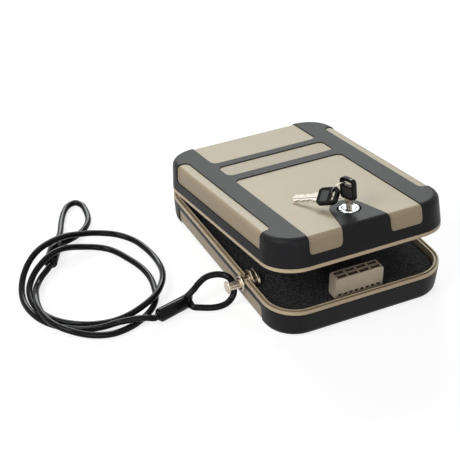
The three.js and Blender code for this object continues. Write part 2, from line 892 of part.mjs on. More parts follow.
function keyBlade() {
  const wide = keyShoulderWidth / 2;
  const tang = keyBladeWidth / 2 - keyTangInset;
  const shoulder = -keyShoulderLength;
  const outline = [
    [tang, keyTang],
    [-tang, keyTang],
    [-tang, -partGap],
    [-wide, -partGap],
    [-wide, shoulder],
    ...keyEdge(-1, true),
    [-keyTipHalfWidth, -keyBladeLength],
    [keyTipHalfWidth, -keyBladeLength],
    ...keyEdge(1, false).reverse(),
    [wide, shoulder],
    [wide, -partGap],
    [tang, -partGap],
  ];
  const shape = new THREE.Shape(outline.map(([x, z]) => new THREE.Vector2(x, z)));
  const thick = keyBladeThickness / 2;
  const grooves = keyGroovePlaces.map((x, i) => {
    const side = i ? -1 : 1;
    const [low, high] = [side * (thick - keyGrooveDepth), side * (thick + over)]
      .sort((a, b) => a - b);
    const half = keyGrooveWidth / 2;
    return box(x - half, x + half, low, high, -keyBladeLength - over, -keyShoulderLength / 3);
  });
  return cut(frontPrism(shape, -thick, thick), ...grooves);
}

// Stud stations along X, from the wall of the base outwards and inwards
const studCollarInner = -bodyWidth / 2 - 2 * partGap;
const studCollarOuter = studCollarInner - studCollarLength;
const studShankEnd = studCollarOuter - studShankLength;
const studHeadEnd = studShankEnd - studHeadLength;
const studInner = -bodyWidth / 2 + cavityInset + studWallClearance;
const studNutStart = studInner + studFlangeLength + partGap;
const studNutEnd = studNutStart + studNutLength;
const studDiscStart = studNutEnd + studNutHubLength + partGap;
const studSpindleEnd = studDiscStart + studDiscLength + studSpindleProud;

function cableStud() {
  const profile = [
    [0, studHeadEnd],
    [studHeadRadius - studEdge, studHeadEnd],
    [studHeadRadius, studHeadEnd + studEdge],
    [studHeadRadius, studShankEnd],
    [studShankRadius, studShankEnd],
    [studShankRadius, studCollarOuter],
    [studCollarRadius - studEdge, studCollarOuter],
    [studCollarRadius, studCollarOuter + studEdge],
    [studCollarRadius, studCollarInner],
    [studNeckRadius, studCollarInner],
    [studNeckRadius, studInner],
    [studFlangeRadius, studInner],
    [studFlangeRadius, studInner + studFlangeLength],
    [studSpindleRadius, studInner + studFlangeLength],
    [studSpindleRadius, studSpindleEnd],
    [0, studSpindleEnd],
  ];
  return turnedAlongX(profile);
}

function turnedAlongX(profile) {
  const points = profile.map(([radius, x]) => new THREE.Vector2(radius, x));
  const geometry = new THREE.LatheGeometry(points, circleSides);
  geometry.rotateZ(-Math.PI / 2);
  geometry.translate(0, studY, studZ);
  return solid(geometry);
}

function studNut() {
  const blank = hexagon(studNutFlats, 0, studNutLength);
  blank.rotateZ(Math.PI / 2);
  blank.translate(studNutStart + studNutLength / 2, studY, studZ);
  const hubStart = studNutEnd - studNutLength / 2;
  const hubEnd = studNutEnd + studNutHubLength;
  const hub = barAlongX(studNutHubRadius, hubStart, hubEnd, studY, studZ, smallCircleSides);
  const bore = barAlongX(studSpindleRadius + partGap, -bodyWidth, 0, studY, studZ);
  return solid(blank).add(hub).subtract(bore);
}

function studDisc() {
  const from = studDiscStart;
  const to = studDiscStart + studDiscLength;
  const bore = barAlongX(studSpindleRadius + partGap, -bodyWidth, 0, studY, studZ);
  return barAlongX(studDiscRadius, from, to, studY, studZ).subtract(bore);
}

// Ferrules lie on the ground; heading is the way the long run leaves them.
function headingVector(degrees) {
  const angle = THREE.MathUtils.degToRad(degrees);
  return new THREE.Vector3(Math.cos(angle), Math.sin(angle), 0);
}

// A square-shouldered sleeve with a small collar where the long run leaves it.
function ferruleSolid(place, degrees) {
  const shoulder = ferruleLength - ferruleCollarLength;
  const profile = [
    [0, 0],
    [ferruleRadius - ferruleEdge, 0],
    [ferruleRadius, ferruleEdge],
    [ferruleRadius, shoulder - ferruleEdge],
    [ferruleRadius - ferruleEdge, shoulder],
    [ferruleCollarRadius, shoulder],
    [ferruleCollarRadius, ferruleLength],
    [0, ferruleLength],
  ];
  return turned(profile, 0, 0)
    .rotate([0, 90, 0])
    .rotate([0, 0, degrees])
    .translate([...place, ferruleHeight]);
}

// The long run: its coil lies round this centre, and each stop is an angle that runs
// clockwise without a break, a radius from the centre and a height of the cable's middle.
const coilCentre = [-203, 38];
const coilStops = [
  [284, 87.2, 9], [277, 83.4, 9.9], [268, 79.2, 8.6], [257, 76.7, 5], [245, 75.9, 3.3],
  [229, 75.1, 3.1], [214, 73.5, 3.1], [199, 70.4, 3.1], [184, 67.2, 3.3], [169, 64, 5],
  [154, 61.4, 8.8], [139, 59.4, 13.2], [124, 57.7, 16.6], [109, 56.9, 17.4], [94, 58.6, 16.2],
  [79, 63, 12], [64, 70.2, 7], [49, 74.8, 3.8], [34, 73.4, 3.1], [19, 69.8, 3.1],
  [4, 67.8, 3.4], [-11, 67.2, 5], [-26, 67.9, 7.8], [-41, 69.6, 9.8], [-54, 71.4, 10.1],
  [-66, 71.2, 8.8], [-80, 69.8, 5.2], [-95, 69.2, 3.2], [-112, 69, 3.1], [-131, 68.1, 3.1],
  [-146, 66.5, 3.1], [-161, 63.5, 3.1], [-176, 60.1, 3.3], [-191, 56.7, 5], [-206, 51.6, 9.6],
  [-221, 45.6, 15], [-236, 42, 17.4], [-251, 41.6, 16.4], [-266, 43.2, 12.8], [-281, 46.6, 8],
  [-296, 49.6, 4.6], [-311, 50, 3.2], [-326, 47.8, 3.1], [-341, 46.6, 3.1], [-356, 48.2, 3.1],
  [-371, 51.6, 3.1], [-386, 56.6, 3.1], [-400, 62.6, 3.1], [-411, 69, 3.1], [-422, 74.6, 3.1],
  [-434, 79.4, 3.1], [-446, 83.8, 3.1], [-458, 87, 3.6], [-470, 88, 6], [-482, 86.4, 9.2],
  [-494, 81, 10], [-506, 73, 10.1], [-518, 64.4, 10], [-530, 57.2, 8.8], [-542, 52.4, 6.4],
  [-554, 48.8, 4.4], [-567, 45.6, 4.4],
];

function ferruleEnd(place, degrees, along) {
  const end = headingVector(degrees).multiplyScalar(along);
  return new THREE.Vector3(place[0] + end.x, place[1] + end.y, ferruleHeight);
}

function runPoints() {
  const start = ferruleLength + partGap;
  const points = [
    ferruleEnd(nearFerrule, nearFerruleHeading, start),
    ferruleEnd(nearFerrule, nearFerruleHeading, start + cableDiameter / 2),
  ];
  for (const [degrees, radius, height] of coilStops) {
    const angle = THREE.MathUtils.degToRad(degrees);
    points.push(new THREE.Vector3(
      coilCentre[0] + radius * Math.cos(angle),
      coilCentre[1] + radius * Math.sin(angle),
      height,
    ));
  }
  points.push(
    ferruleEnd(farFerrule, farFerruleHeading, start + cableDiameter / 2),
    ferruleEnd(farFerrule, farFerruleHeading, start),
  );
  return points;
}

// Both eyes leave their ferrule as two strands side by side; the near eye passes behind the stud.
const nearEyeStops = [
  [-130.7, -34.5, 14.2], [-122.8, -32.1, 19.2], [-115.5, -31.1, 22.4], [-106.8, -32.6, 23.4],
  [-101, -36.6, 23.6], [-97.4, -41.6, 22.6], [-96, -45.4, 19.4], [-95.9, -48, 15.4],
  [-97.2, -50.6, 10.8], [-100.2, -52, 7], [-105.4, -53.3, 4.2], [-112.7, -53.7, 3.3],
  [-120.2, -52.1, 3.2], [-128.9, -47.7, 3.2], [-134.7, -44.1, 3.4],
];
const farEyeStops = [
  [-209.6, 109, 6], [-203.6, 118.2, 5], [-194.6, 138.6, 4], [-186, 155, 3.3], [-177.6, 164.6, 3.2],
  [-169.6, 166.6, 3.2], [-165.2, 159.6, 3.2], [-165.6, 145.4, 3.2], [-169, 131.6, 3.2],
  [-174.8, 122, 3.2], [-183, 114, 3.4], [-193, 107, 4.4], [-203, 102, 5.8],
];

function eyePoints(place, degrees, stops, riseDegrees) {
  const ahead = headingVector(degrees);
  const rise = THREE.MathUtils.degToRad(riseDegrees);
  const across = new THREE.Vector3(-ahead.y, ahead.x, 0).multiplyScalar(Math.cos(rise));
  across.z = Math.sin(rise);
  const base = ferruleEnd(place, degrees, -partGap);
  const strand = (side, along) =>
    base.clone().addScaledVector(across, side * strandSpread).addScaledVector(ahead, -along);
  return [
    strand(-1, 0),
    strand(-1, cableDiameter / 2),
    ...stops.map((stop) => new THREE.Vector3(...stop)),
    strand(1, cableDiameter / 2),
    strand(1, 0),
  ];
}

// One round tube along a smooth line through the points.
function tube(points, steps) {
  const shape = new THREE.Shape();
  for (let i = 0; i < cableSides; i++) {
    const angle = (i / cableSides) * Math.PI * 2;
    const x = (cableDiameter / 2) * Math.cos(angle);
    const y = (cableDiameter / 2) * Math.sin(angle);
    if (i === 0) shape.moveTo(x, y);
    else shape.lineTo(x, y);
  }
  shape.closePath();
  const extrudePath = new THREE.CatmullRomCurve3(points, false, "centripetal");
  return solid(new THREE.ExtrudeGeometry(shape, { steps, extrudePath, bevelEnabled: false }));
}

// The least gap between stretches of one tube that lie more than four diameters apart along it.
function leastGap(points) {
  const line = new THREE.CatmullRomCurve3(points, false, "centripetal");
  const length = line.getLength();
  const count = Math.round(length / 2);
  const samples = line.getSpacedPoints(count);
  const apart = Math.ceil((4 * cableDiameter * count) / length);
  let least = Infinity;
  let place = samples[0];
  for (let i = 0; i < samples.length; i++) {
    for (let j = i + apart; j < samples.length; j++) {
      const distance = samples[i].distanceTo(samples[j]);
      if (distance < least) {
        least = distance;
        place = samples[i];
      }
    }
  }
  return { length, gap: least - cableDiameter, place };
}

const tan = { color: 0xb9ad97, roughness: 0.5, metalness: 0 };
const dark = { color: 0x343436, roughness: 0.62, metalness: 0 };
const foam = { color: 0x141415, roughness: 1, metalness: 0 };
const chrome = { color: 0xd8dade, roughness: 0.14, metalness: 1 };
const nickel = { color: 0xa89f8e, roughness: 0.28, metalness: 1 };
const steel = { color: 0x9b9c9e, roughness: 0.38, metalness: 1 };
const blackPlastic = { color: 0x1b1b1d, roughness: 0.42, metalness: 0 };
const blackVinyl = { color: 0x101011, roughness: 0.3, metalness: 0 };
const keeperTan = { color: 0x948972, roughness: 0.55, metalness: 0 };

function piece(name, body, look) {
  const made = new THREE.Mesh(geometryOf(body), new THREE.MeshStandardMaterial(look));
  made.name = name;
  return made;
}

const safe = new THREE.Group();

const base = new THREE.Group();
base.add(
  piece("base_shell", baseShell(), tan),
  piece("base_skin", baseSkin(), dark),
  piece("base_foam", baseFoam(), foam),
  piece("latch_keeper", latchKeeper(), keeperTan),
  piece("keeper_screw_left", keeperScrew(keeperScrewPlaces[0]), steel),
  piece("keeper_screw_right", keeperScrew(keeperScrewPlaces[1]), steel),
  piece("hinge_pin_left", hingePin(-hingeX), steel),
  piece("hinge_pin_right", hingePin(hingeX), steel),
  piece("cable_stud", cableStud(), nickel),
  piece("stud_nut", studNut(), nickel),
  piece("stud_disc", studDisc(), nickel),
);
safe.add(base);

// The lid turns on the hinge line; it rests open by restOpening.
const lidPivot = new THREE.Group();
lidPivot.position.set(0, hingeY, hingeZ);
lidPivot.rotation.x = -THREE.MathUtils.degToRad(restOpening);
const lid = new THREE.Group();
lid.position.set(0, -hingeY, lidBottom - hingeZ);
lid.add(
  piece("lid_shell", lidShell(), tan),
  piece("lid_skin", lidSkin(), dark),
  piece("lid_foam", lidFoam(), foam),
  piece("lock_housing", lockHousing(), chrome),
  piece("lock_nut", lockNut(), steel),
);
lidPivot.add(lid);
safe.add(lidPivot);

const turning = new THREE.Group();
turning.position.set(0, lockY, 0);
turning.add(
  piece("lock_plug", lockPlug(), chrome),
  piece("lock_cam", lockCam(), steel),
  piece("cam_washer", camWasher(), steel),
  piece("cam_screw", camScrew(), steel),
);
lid.add(turning);

const firstKey = new THREE.Group();
firstKey.position.set(0, lockY, keyBase);
firstKey.rotation.z = THREE.MathUtils.degToRad(keyTurn);
firstKey.add(piece("key_blade_1", keyBlade(), nickel), piece("key_head_1", keyHead(), blackPlastic));
lid.add(firstKey);

// The spare key hangs by its slot on the ring, its tip on the lid.
const heading = THREE.MathUtils.degToRad(spareHeading);
const pitch = THREE.MathUtils.degToRad(sparePitch);
const roll = THREE.MathUtils.degToRad(spareRoll);
const spareAlong = new THREE.Vector3(
  Math.cos(pitch) * Math.cos(heading),
  Math.cos(pitch) * Math.sin(heading),
  Math.sin(pitch),
);
const spareFar = new THREE.Vector3(0, 0, 1).cross(spareAlong).normalize();
const spareUp = spareAlong.clone().cross(spareFar);
const spareWide = spareFar.clone().multiplyScalar(Math.cos(roll)).addScaledVector(spareUp, Math.sin(roll));
const spareFace = spareAlong.clone().cross(spareWide);
const keyFoot = new THREE.Vector3(0, lockY, keyBase);
const slotPlace = new THREE.Vector3(...spareFromKey).add(keyFoot);
const spareKey = new THREE.Group();
spareKey.quaternion.setFromRotationMatrix(
  new THREE.Matrix4().makeBasis(spareWide, spareFace, spareAlong),
);
spareKey.position.copy(slotPlace).addScaledVector(spareAlong, -keySlotZ);
spareKey.add(piece("key_blade_2", keyBlade(), nickel), piece("key_head_2", keyHead(), blackPlastic));
lid.add(spareKey);

// The ring passes through both slots.
const ringGroup = new THREE.Group();
ringGroup.position.set(...ringFromKey).add(keyFoot);
ringGroup.quaternion.setFromUnitVectors(
  new THREE.Vector3(0, 0, 1),
  new THREE.Vector3(...ringAxis).normalize(),
);
ringGroup.add(piece("key_ring", solid(new THREE.TorusGeometry(ringRadius, ringWire, 6, 32)), chrome));
lid.add(ringGroup);

const run = runPoints();
const nearEye = eyePoints(nearFerrule, nearFerruleHeading, nearEyeStops, nearEyeRise);
const farEye = eyePoints(farFerrule, farFerruleHeading, farEyeStops, farEyeRise);
const turns = (coilStops[0][0] - coilStops[coilStops.length - 1][0]) / 360;
const tether = new THREE.Group();
tether.position.set(-bodyWidth / 2 - tetherDrawnAt[0], studY - tetherDrawnAt[1], 0);
tether.add(
  piece("cable_run", tube(run, Math.round((turns + 0.3) * cableStepsPerTurn)), blackVinyl),
  piece("cable_eye_near", tube(nearEye, eyeSteps), blackVinyl),
  piece("cable_eye_far", tube(farEye, eyeSteps), blackVinyl),
  piece("ferrule_near", ferruleSolid(nearFerrule, nearFerruleHeading), blackVinyl),
  piece("ferrule_far", ferruleSolid(farFerrule, farFerruleHeading), blackVinyl),
);
safe.add(tether);

for (const [name, points] of [["long run", run], ["near eye", nearEye], ["far eye", farEye]]) {
  const { length, gap, place } = leastGap(points);
  const at = place.toArray().map((value) => value.toFixed(0)).join(", ");
  console.log(`${name}: length ${length.toFixed(1)} mm, least gap ${gap.toFixed(2)} mm at ${at}`);
}

export default safe;
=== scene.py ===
"""A portable car safe: finishes, soft parts, cable and studio for the solids of the frame."""

import json
import math

import bmesh
import bpy
import numpy as np
from mathutils import Matrix, Vector

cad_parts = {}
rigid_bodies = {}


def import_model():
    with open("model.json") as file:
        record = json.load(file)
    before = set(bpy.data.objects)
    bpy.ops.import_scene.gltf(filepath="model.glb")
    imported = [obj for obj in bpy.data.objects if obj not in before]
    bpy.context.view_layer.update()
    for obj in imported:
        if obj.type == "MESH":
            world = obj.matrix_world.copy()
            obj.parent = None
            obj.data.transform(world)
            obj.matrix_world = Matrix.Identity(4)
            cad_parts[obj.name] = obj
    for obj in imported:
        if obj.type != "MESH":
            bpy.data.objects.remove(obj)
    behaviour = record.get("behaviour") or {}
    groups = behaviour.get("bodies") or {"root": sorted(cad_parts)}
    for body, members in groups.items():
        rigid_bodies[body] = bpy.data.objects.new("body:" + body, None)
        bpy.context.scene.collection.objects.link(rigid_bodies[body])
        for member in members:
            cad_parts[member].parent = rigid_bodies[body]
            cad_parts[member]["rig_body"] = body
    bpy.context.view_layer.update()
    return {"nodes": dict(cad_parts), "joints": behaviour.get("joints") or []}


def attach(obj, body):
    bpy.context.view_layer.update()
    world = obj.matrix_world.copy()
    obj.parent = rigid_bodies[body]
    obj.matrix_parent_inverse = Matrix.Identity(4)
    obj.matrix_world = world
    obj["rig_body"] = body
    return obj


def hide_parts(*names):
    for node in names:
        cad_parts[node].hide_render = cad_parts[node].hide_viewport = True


bl_info = {
    "name": "Portable Car Safe",
    "version": (1, 0, 0),
    "blender": (4, 5, 0),
    "location": "View3D > Sidebar > Car Safe",
    "description": "Finishes, foam, tether cable and studio for a portable car safe",
    "category": "Object",
}

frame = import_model()
NODES = frame["nodes"]
JOINTS = {joint["name"]: joint for joint in frame["joints"]}
MM = 0.001

# The cable's route in millimetres, as the solids have it.
CABLE_DIAMETER = 6.0
FERRULE_LENGTH = 32.0
FERRULE_RADIUS = 6.5
FERRULE_COLLAR_LENGTH = 2.2
FERRULE_COLLAR_RADIUS = 4.2
FERRULE_HEIGHT = 6.6
PART_GAP = 0.3
STRAND_SPREAD = 3.5
NEAR_FERRULE = ((-140.4, -37.8), 195.8)
NEAR_EYE_RISE = math.radians(-54)
FAR_FERRULE = ((-214.6, 99.4), 240.5)
FAR_EYE_RISE = 0.0
COIL_CENTRE = (-203.0, 38.0)
COIL_STOPS = (
    (284, 87.2, 9), (277, 83.4, 9.9), (268, 79.2, 8.6), (257, 76.7, 5), (245, 75.9, 3.3),
    (229, 75.1, 3.1), (214, 73.5, 3.1), (199, 70.4, 3.1), (184, 67.2, 3.3), (169, 64, 5),
    (154, 61.4, 8.8), (139, 59.4, 13.2), (124, 57.7, 16.6), (109, 56.9, 17.4), (94, 58.6, 16.2),
    (79, 63, 12), (64, 70.2, 7), (49, 74.8, 3.8), (34, 73.4, 3.1), (19, 69.8, 3.1),
    (4, 67.8, 3.4), (-11, 67.2, 5), (-26, 67.9, 7.8), (-41, 69.6, 9.8), (-54, 71.4, 10.1),
    (-66, 71.2, 8.8), (-80, 69.8, 5.2), (-95, 69.2, 3.2), (-112, 69, 3.1), (-131, 68.1, 3.1),
    (-146, 66.5, 3.1), (-161, 63.5, 3.1), (-176, 60.1, 3.3), (-191, 56.7, 5), (-206, 51.6, 9.6),
    (-221, 45.6, 15), (-236, 42, 17.4), (-251, 41.6, 16.4), (-266, 43.2, 12.8), (-281, 46.6, 8),
    (-296, 49.6, 4.6), (-311, 50, 3.2), (-326, 47.8, 3.1), (-341, 46.6, 3.1), (-356, 48.2, 3.1),
    (-371, 51.6, 3.1), (-386, 56.6, 3.1), (-400, 62.6, 3.1), (-411, 69, 3.1), (-422, 74.6, 3.1),
    (-434, 79.4, 3.1), (-446, 83.8, 3.1), (-458, 87, 3.6), (-470, 88, 6), (-482, 86.4, 9.2),
    (-494, 81, 10), (-506, 73, 10.1), (-518, 64.4, 10), (-530, 57.2, 8.8), (-542, 52.4, 6.4),
    (-554, 48.8, 4.4), (-567, 45.6, 4.4),
)
NEAR_EYE_STOPS = (
    (-130.7, -34.5, 14.2), (-122.8, -32.1, 19.2), (-115.5, -31.1, 22.4), (-106.8, -32.6, 23.4),
    (-101, -36.6, 23.6), (-97.4, -41.6, 22.6), (-96, -45.4, 19.4), (-95.9, -48, 15.4),
    (-97.2, -50.6, 10.8), (-100.2, -52, 7), (-105.4, -53.3, 4.2), (-112.7, -53.7, 3.3),
    (-120.2, -52.1, 3.2), (-128.9, -47.7, 3.2), (-134.7, -44.1, 3.4),
)
FAR_EYE_STOPS = (
    (-209.6, 109, 6), (-203.6, 118.2, 5), (-194.6, 138.6, 4), (-186, 155, 3.3),
    (-177.6, 164.6, 3.2), (-169.6, 166.6, 3.2), (-165.2, 159.6, 3.2), (-165.6, 145.4, 3.2),
    (-169, 131.6, 3.2), (-174.8, 122, 3.2), (-183, 114, 3.4), (-193, 107, 4.4),
    (-203, 102, 5.8),
)

# A ferrule's outline in millimetres: distance from its mouth, or from its shoulder or end, and
# how far the surface lies under the full radius of the sleeve or of its collar
FERRULE_MOUTH = ((0, 1.5), (0.2, 0.8), (0.7, 0.25), (1.5, 0))
FERRULE_SHOULDER = ((-1.2, 0), (-0.5, 0.18), (-0.12, 0.6), (0, 1.2))
COLLAR_START = ((0, -0.4), (0.3, -0.05))
COLLAR_END = ((-0.6, 0), (-0.15, 0.3), (0, 0.9))

# The web in the V of an eye: its thickness at the ferrule as a share of the cable's, how much of
# it is lost on the way, how much thinner it is in the middle, and how far its edge is drawn in
WEB_STEPS = 8
WEB_THICKNESS = 0.82
WEB_TAPER = 0.4
WEB_DISH = 0.3
WEB_DRAWN_IN = 2.6

# The threads, as shares of their pitch: a ridge's radius, and how far its middle lies inside the
# housing's round sides and the nut's bore; and half the arc of such a side, in degrees
THREAD_RIDGE = 0.45
LOCK_THREAD_DEPTH = 0.35
STUD_THREAD_DEPTH = 0.6
LOCK_THREAD_HALF_ARC = 52.0

# Sizes in metres that aren't for the user
# Width of the painted shadow line on the lock's face
LOCK_SEAM_SHADOW = 0.0014
RIM_HEIGHT = 0.0033
RIM_GAP = 0.0003
LABEL_OFF_MIDDLE = 0.01
FOAM_RIPPLE = 0.00012
FOAM_SINK = 0.00018
MERGE = 2e-6

# Angles: an edge that turns more is hard, and faces that turn less are one flat face
SHARP = math.radians(32)
FLAT = math.radians(0.6)

# The camera's sensor in millimetres, the picture's width in pixels, and what the lamps point at
SENSOR = 36
PICTURE = 460
AIM = Vector((-0.02, 0.0, 0.03))

# The lamps: place, and size of their rectangle
LAMPS = {
    "key": ((-1.35, -0.25, 1.15), (0.9, 0.8)),
    "kick": ((-0.55, 0.1, 1.5), (0.12, 0.12)),
    "rear": ((0.6, 2.4, 1.5), (2.1, 0.8)),
    "fill": ((-0.5, -1.8, 0.7), (1.2, 0.9)),
}
REAR_TINT = (0.93, 1.0, 0.95)

# The floor: half its side, its paper's colour, and where its glow starts to rise and is white
FLOOR_HALF = 6.0
FLOOR_PAPER = (0.35, 0.35, 0.35, 1)
GLOW_FROM = 0.4
GLOW_WHITE = 2.4
WHITE = (1, 1, 1, 1)


# Settings that a user would change

COLOUR = {"subtype": "COLOR", "size": 3, "min": 0, "max": 1}
FINE_LENGTH = {"unit": "LENGTH", "min": 0.0001, "max": 0.02, "precision": 5}
POWER = {"unit": "POWER", "min": 0}
SHARE = {"min": 0, "max": 1}


class SafeFinish(bpy.types.PropertyGroup):
    """Colours and grain of the finishes."""

    tan: bpy.props.FloatVectorProperty(
        name="Tan panels",
        description="Colour of the moulded tan shell",
        default=(0.4, 0.316, 0.21),
        **COLOUR,
    )
    dark: bpy.props.FloatVectorProperty(
        name="Dark skin",
        description="Colour of the dark grey outer skin",
        default=(0.0155, 0.0148, 0.0165),
        **COLOUR,
    )
    keeper: bpy.props.FloatVectorProperty(
        name="Keeper",
        description="Colour of the latch keeper",
        default=(0.7, 0.59, 0.45),
        **COLOUR,
    )
    foam: bpy.props.FloatVectorProperty(
        name="Foam",
        description="Colour of the foam pads",
        default=(0.017, 0.016, 0.0165),
        **COLOUR,
    )
    vinyl: bpy.props.FloatVectorProperty(
        name="Cable",
        description="Colour of the cable's vinyl coat",
        default=(0.004, 0.004, 0.0045),
        **COLOUR,
    )
    grain: bpy.props.FloatProperty(
        name="Grain size",
        description="Spacing of the fine grain on the dark skin",
        default=0.0006,
        **FINE_LENGTH,
    )
    pore: bpy.props.FloatProperty(
        name="Pore size",
        description="Size of the pores in the foam",
        default=0.0012,
        **FINE_LENGTH,
    )


class SafeSizes(bpy.types.PropertyGroup):
    """Edge radii and small sizes of the dressed pieces."""

    edge: bpy.props.FloatProperty(
        name="Moulded edge",
        description="Radius on the edges of the plastic pieces",
        default=0.0004,
        **FINE_LENGTH,
    )
    metal_edge: bpy.props.FloatProperty(
        name="Metal edge",
        description="Radius on the edges of the metal pieces",
        default=0.00018,
        **FINE_LENGTH,
    )
    foam_cell: bpy.props.FloatProperty(
        name="Foam mesh",
        description="Mesh size of the foam pads",
        default=0.0016,
        **FINE_LENGTH,
    )
    ring_wire: bpy.props.FloatProperty(
        name="Ring wire",
        description="Diameter of the key ring's wire",
        default=0.00065,
        **FINE_LENGTH,
    )
    thread_pitch: bpy.props.FloatProperty(
        name="Thread pitch",
        description="Distance between the threads of the lock and the stud",
        default=0.001,
        **FINE_LENGTH,
    )
    web_length: bpy.props.FloatProperty(
        name="Web length",
        description="How far the vinyl web reaches between the two strands of an eye",
        default=0.011,
        **FINE_LENGTH,
    )


class SafeStudio(bpy.types.PropertyGroup):
    """Camera place, floor and lamps."""

    azimuth: bpy.props.FloatProperty(
        name="Camera azimuth",
        description="Turn of the camera round the safe, in degrees",
        default=-26.16,
    )
    elevation: bpy.props.FloatProperty(
        name="Camera elevation",
        description="Height of the camera above the horizon, in degrees",
        default=34.2,
    )
    distance: bpy.props.FloatProperty(
        name="Camera distance",
        description="Distance from the camera to the point that it looks at",
        unit="LENGTH",
        default=1.27647,
    )
    target: bpy.props.FloatVectorProperty(
        name="Camera target",
        description="Point that the camera looks at",
        subtype="XYZ",
        size=3,
        default=(-0.06092, 0.03092, 0.020),
    )
    focal: bpy.props.FloatProperty(
        name="Focal length in pixels",
        description="Focal length for a picture 460 pixels wide",
        default=1325.69,
    )
    key: bpy.props.FloatProperty(
        name="Key lamp",
        description="Power of the lamp above and to the left of the safe",
        default=14.0,
        **POWER,
    )
    kick: bpy.props.FloatProperty(
        name="Kicker lamp",
        description="Power of the small lamp that draws bright lines on the cable and the keys",
        default=2.5,
        **POWER,
    )
    rear: bpy.props.FloatProperty(
        name="Rear lamp",
        description="Power of the lamp behind the safe, which gives its top a sheen",
        default=60.0,
        **POWER,
    )
    fill: bpy.props.FloatProperty(
        name="Fill lamp",
        description="Power of the lamp in front of the safe",
        default=9.0,
        **POWER,
    )
    sky: bpy.props.FloatProperty(
        name="Surround",
        description="Strength of the surround's light on matte surfaces",
        default=0.12,
        **SHARE,
    )
    floor: bpy.props.FloatProperty(
        name="Floor glow",
        description="Brightness that is added to the floor where it is seen",
        default=0.8,
        **SHARE,
    )


def finish():
    return bpy.context.scene.safe_finish


def sizes():
    return bpy.context.scene.safe_sizes


def studio():
    return bpy.context.scene.safe_studio


# Materials


class Nodes:
    """A node tree, and short ways to fill it."""

    def add(self, kind, *values, **settings):
        """A node: values fill its sockets in order, and settings those sockets or properties."""
        node = self.tree.nodes.new(kind)
        filled = list(zip(node.inputs, values))
        for key, value in settings.items():
            label = key.replace("_", " ")
            if label in node.inputs:
                filled.append((node.inputs[label], value))
            else:
                setattr(node, key, value)
        for socket, value in filled:
            if isinstance(value, bpy.types.NodeSocket):
                self.link(value, socket)
            else:
                socket.default_value = value
        return node

    def out(self, kind, *values, **settings):
        """The first output of a node that is added."""
        return self.add(kind, *values, **settings).outputs[0]

    def link(self, source, target):
        self.tree.links.new(source, target)


class Shading(Nodes):
    """The emptied node tree of a material or a surround."""

    def __init__(self, owner):
        owner.use_nodes = True
        self.tree = owner.node_tree
        self.tree.nodes.clear()

    def seen(self):
        """1 where the camera, a reflection or clear plastic sees the surface, otherwise 0."""
        rays = self.add("ShaderNodeLightPath").outputs
        value = rays["Is Camera Ray"]
        for kind in ("Is Glossy Ray", "Is Transmission Ray"):
            value = self.out("ShaderNodeMath", value, rays[kind], operation="MAXIMUM")
        return value

    def between(self, factor, low, high, from_low=0.3, from_high=0.7, way="LINEAR"):
        """A value from low to high while the factor goes from from_low to from_high."""
        node = self.add("ShaderNodeMapRange", factor, from_low, from_high, low, high)
        node.interpolation_type = way
        return node.outputs["Result"]


class Finish(Shading):
    """One material of the safe with its shader, and the patterns that drive it."""

    def __init__(self, name, **values):
        self.material = bpy.data.materials.get(name) or bpy.data.materials.new(name)
        super().__init__(self.material)
        self.shader = self.add("ShaderNodeBsdfPrincipled", **values)
        self.add("ShaderNodeOutputMaterial", self.shader.outputs["BSDF"])
        self.place = self.add("ShaderNodeTexCoord").outputs["Object"]

    def noise(self, size, detail=2.0, rough=0.5):
        return self.out(
            "ShaderNodeTexNoise", self.place, Scale=1 / size, Detail=detail, Roughness=rough
        )

    def cells(self, size):
        return self.out("ShaderNodeTexVoronoi", self.place, Scale=1 / size)

    def colours(self, factor, low, high, from_low=0.3, from_high=0.7):
        """Base colour from low to high while the factor goes from from_low to from_high."""
        ramp = self.add("ShaderNodeValToRGB", factor)
        ends = ramp.color_ramp.elements
        ends[0].position, ends[1].position = from_low, from_high
        ends[0].color, ends[1].color = (*low, 1), (*high, 1)
        self.link(ramp.outputs["Color"], self.shader.inputs["Base Color"])

    def mottled(self, colour, low, high, *grain):
        """Base colour in patches between two shares of a colour; the grain is as for noise."""
        self.colours(self.noise(*grain), shade(colour, low), shade(colour, high))

    def painted_shade_in_hollows(self, distance, colour, deep=0.15, open_above=0.65):
        """Painted shade: darkens the base colour deep in the piece's own grooves and pockets."""
        open_sky = self.add(
            "ShaderNodeAmbientOcclusion", samples=8, only_local=True, Distance=distance
        )
        self.tint(self.between(open_sky.outputs["AO"], 1, 0, deep, open_above), colour)

    def tint(self, factor, colour):
        """Multiplies the base colour by another colour where the factor is 1."""
        base = self.shader.inputs["Base Color"]
        plain = base.links[0].from_socket
        self.link(
            self.out("ShaderNodeMixRGB", factor, plain, (*colour, 1), blend_type="MULTIPLY"), base
        )

    def from_line(self, place, along):
        """How far the surface lies from a line."""
        kind = "ShaderNodeVectorMath"
        spot = self.out(kind, self.place, place, operation="SUBTRACT")
        across = self.out(kind, spot, Vector(along).normalized(), operation="CROSS_PRODUCT")
        return self.add(kind, across, operation="LENGTH").outputs["Value"]

    def near(self, value, middle, width):
        """1 where a value is at the middle, falling to 0 half a width away."""
        away = self.out("ShaderNodeMath", value, middle, operation="SUBTRACT")
        size = self.out("ShaderNodeMath", away, operation="ABSOLUTE")
        return self.between(size, 1, 0, width * 0.25, width * 0.5)

    def rough(self, low, high, *grain):
        """Roughness in patches from low to high."""
        self.link(self.between(self.noise(*grain), low, high), self.shader.inputs["Roughness"])

    def bump(self, height, depth, strength=1.0, **under):
        """Raises the surface with the height, over another bump that is given as its Normal."""
        raised = self.out("ShaderNodeBump", strength, depth, Height=height, **under)
        self.link(raised, self.shader.inputs["Normal"])
        return raised


def shade(colour, factor):
    return tuple(min(1.0, max(0.0, value * factor)) for value in colour)


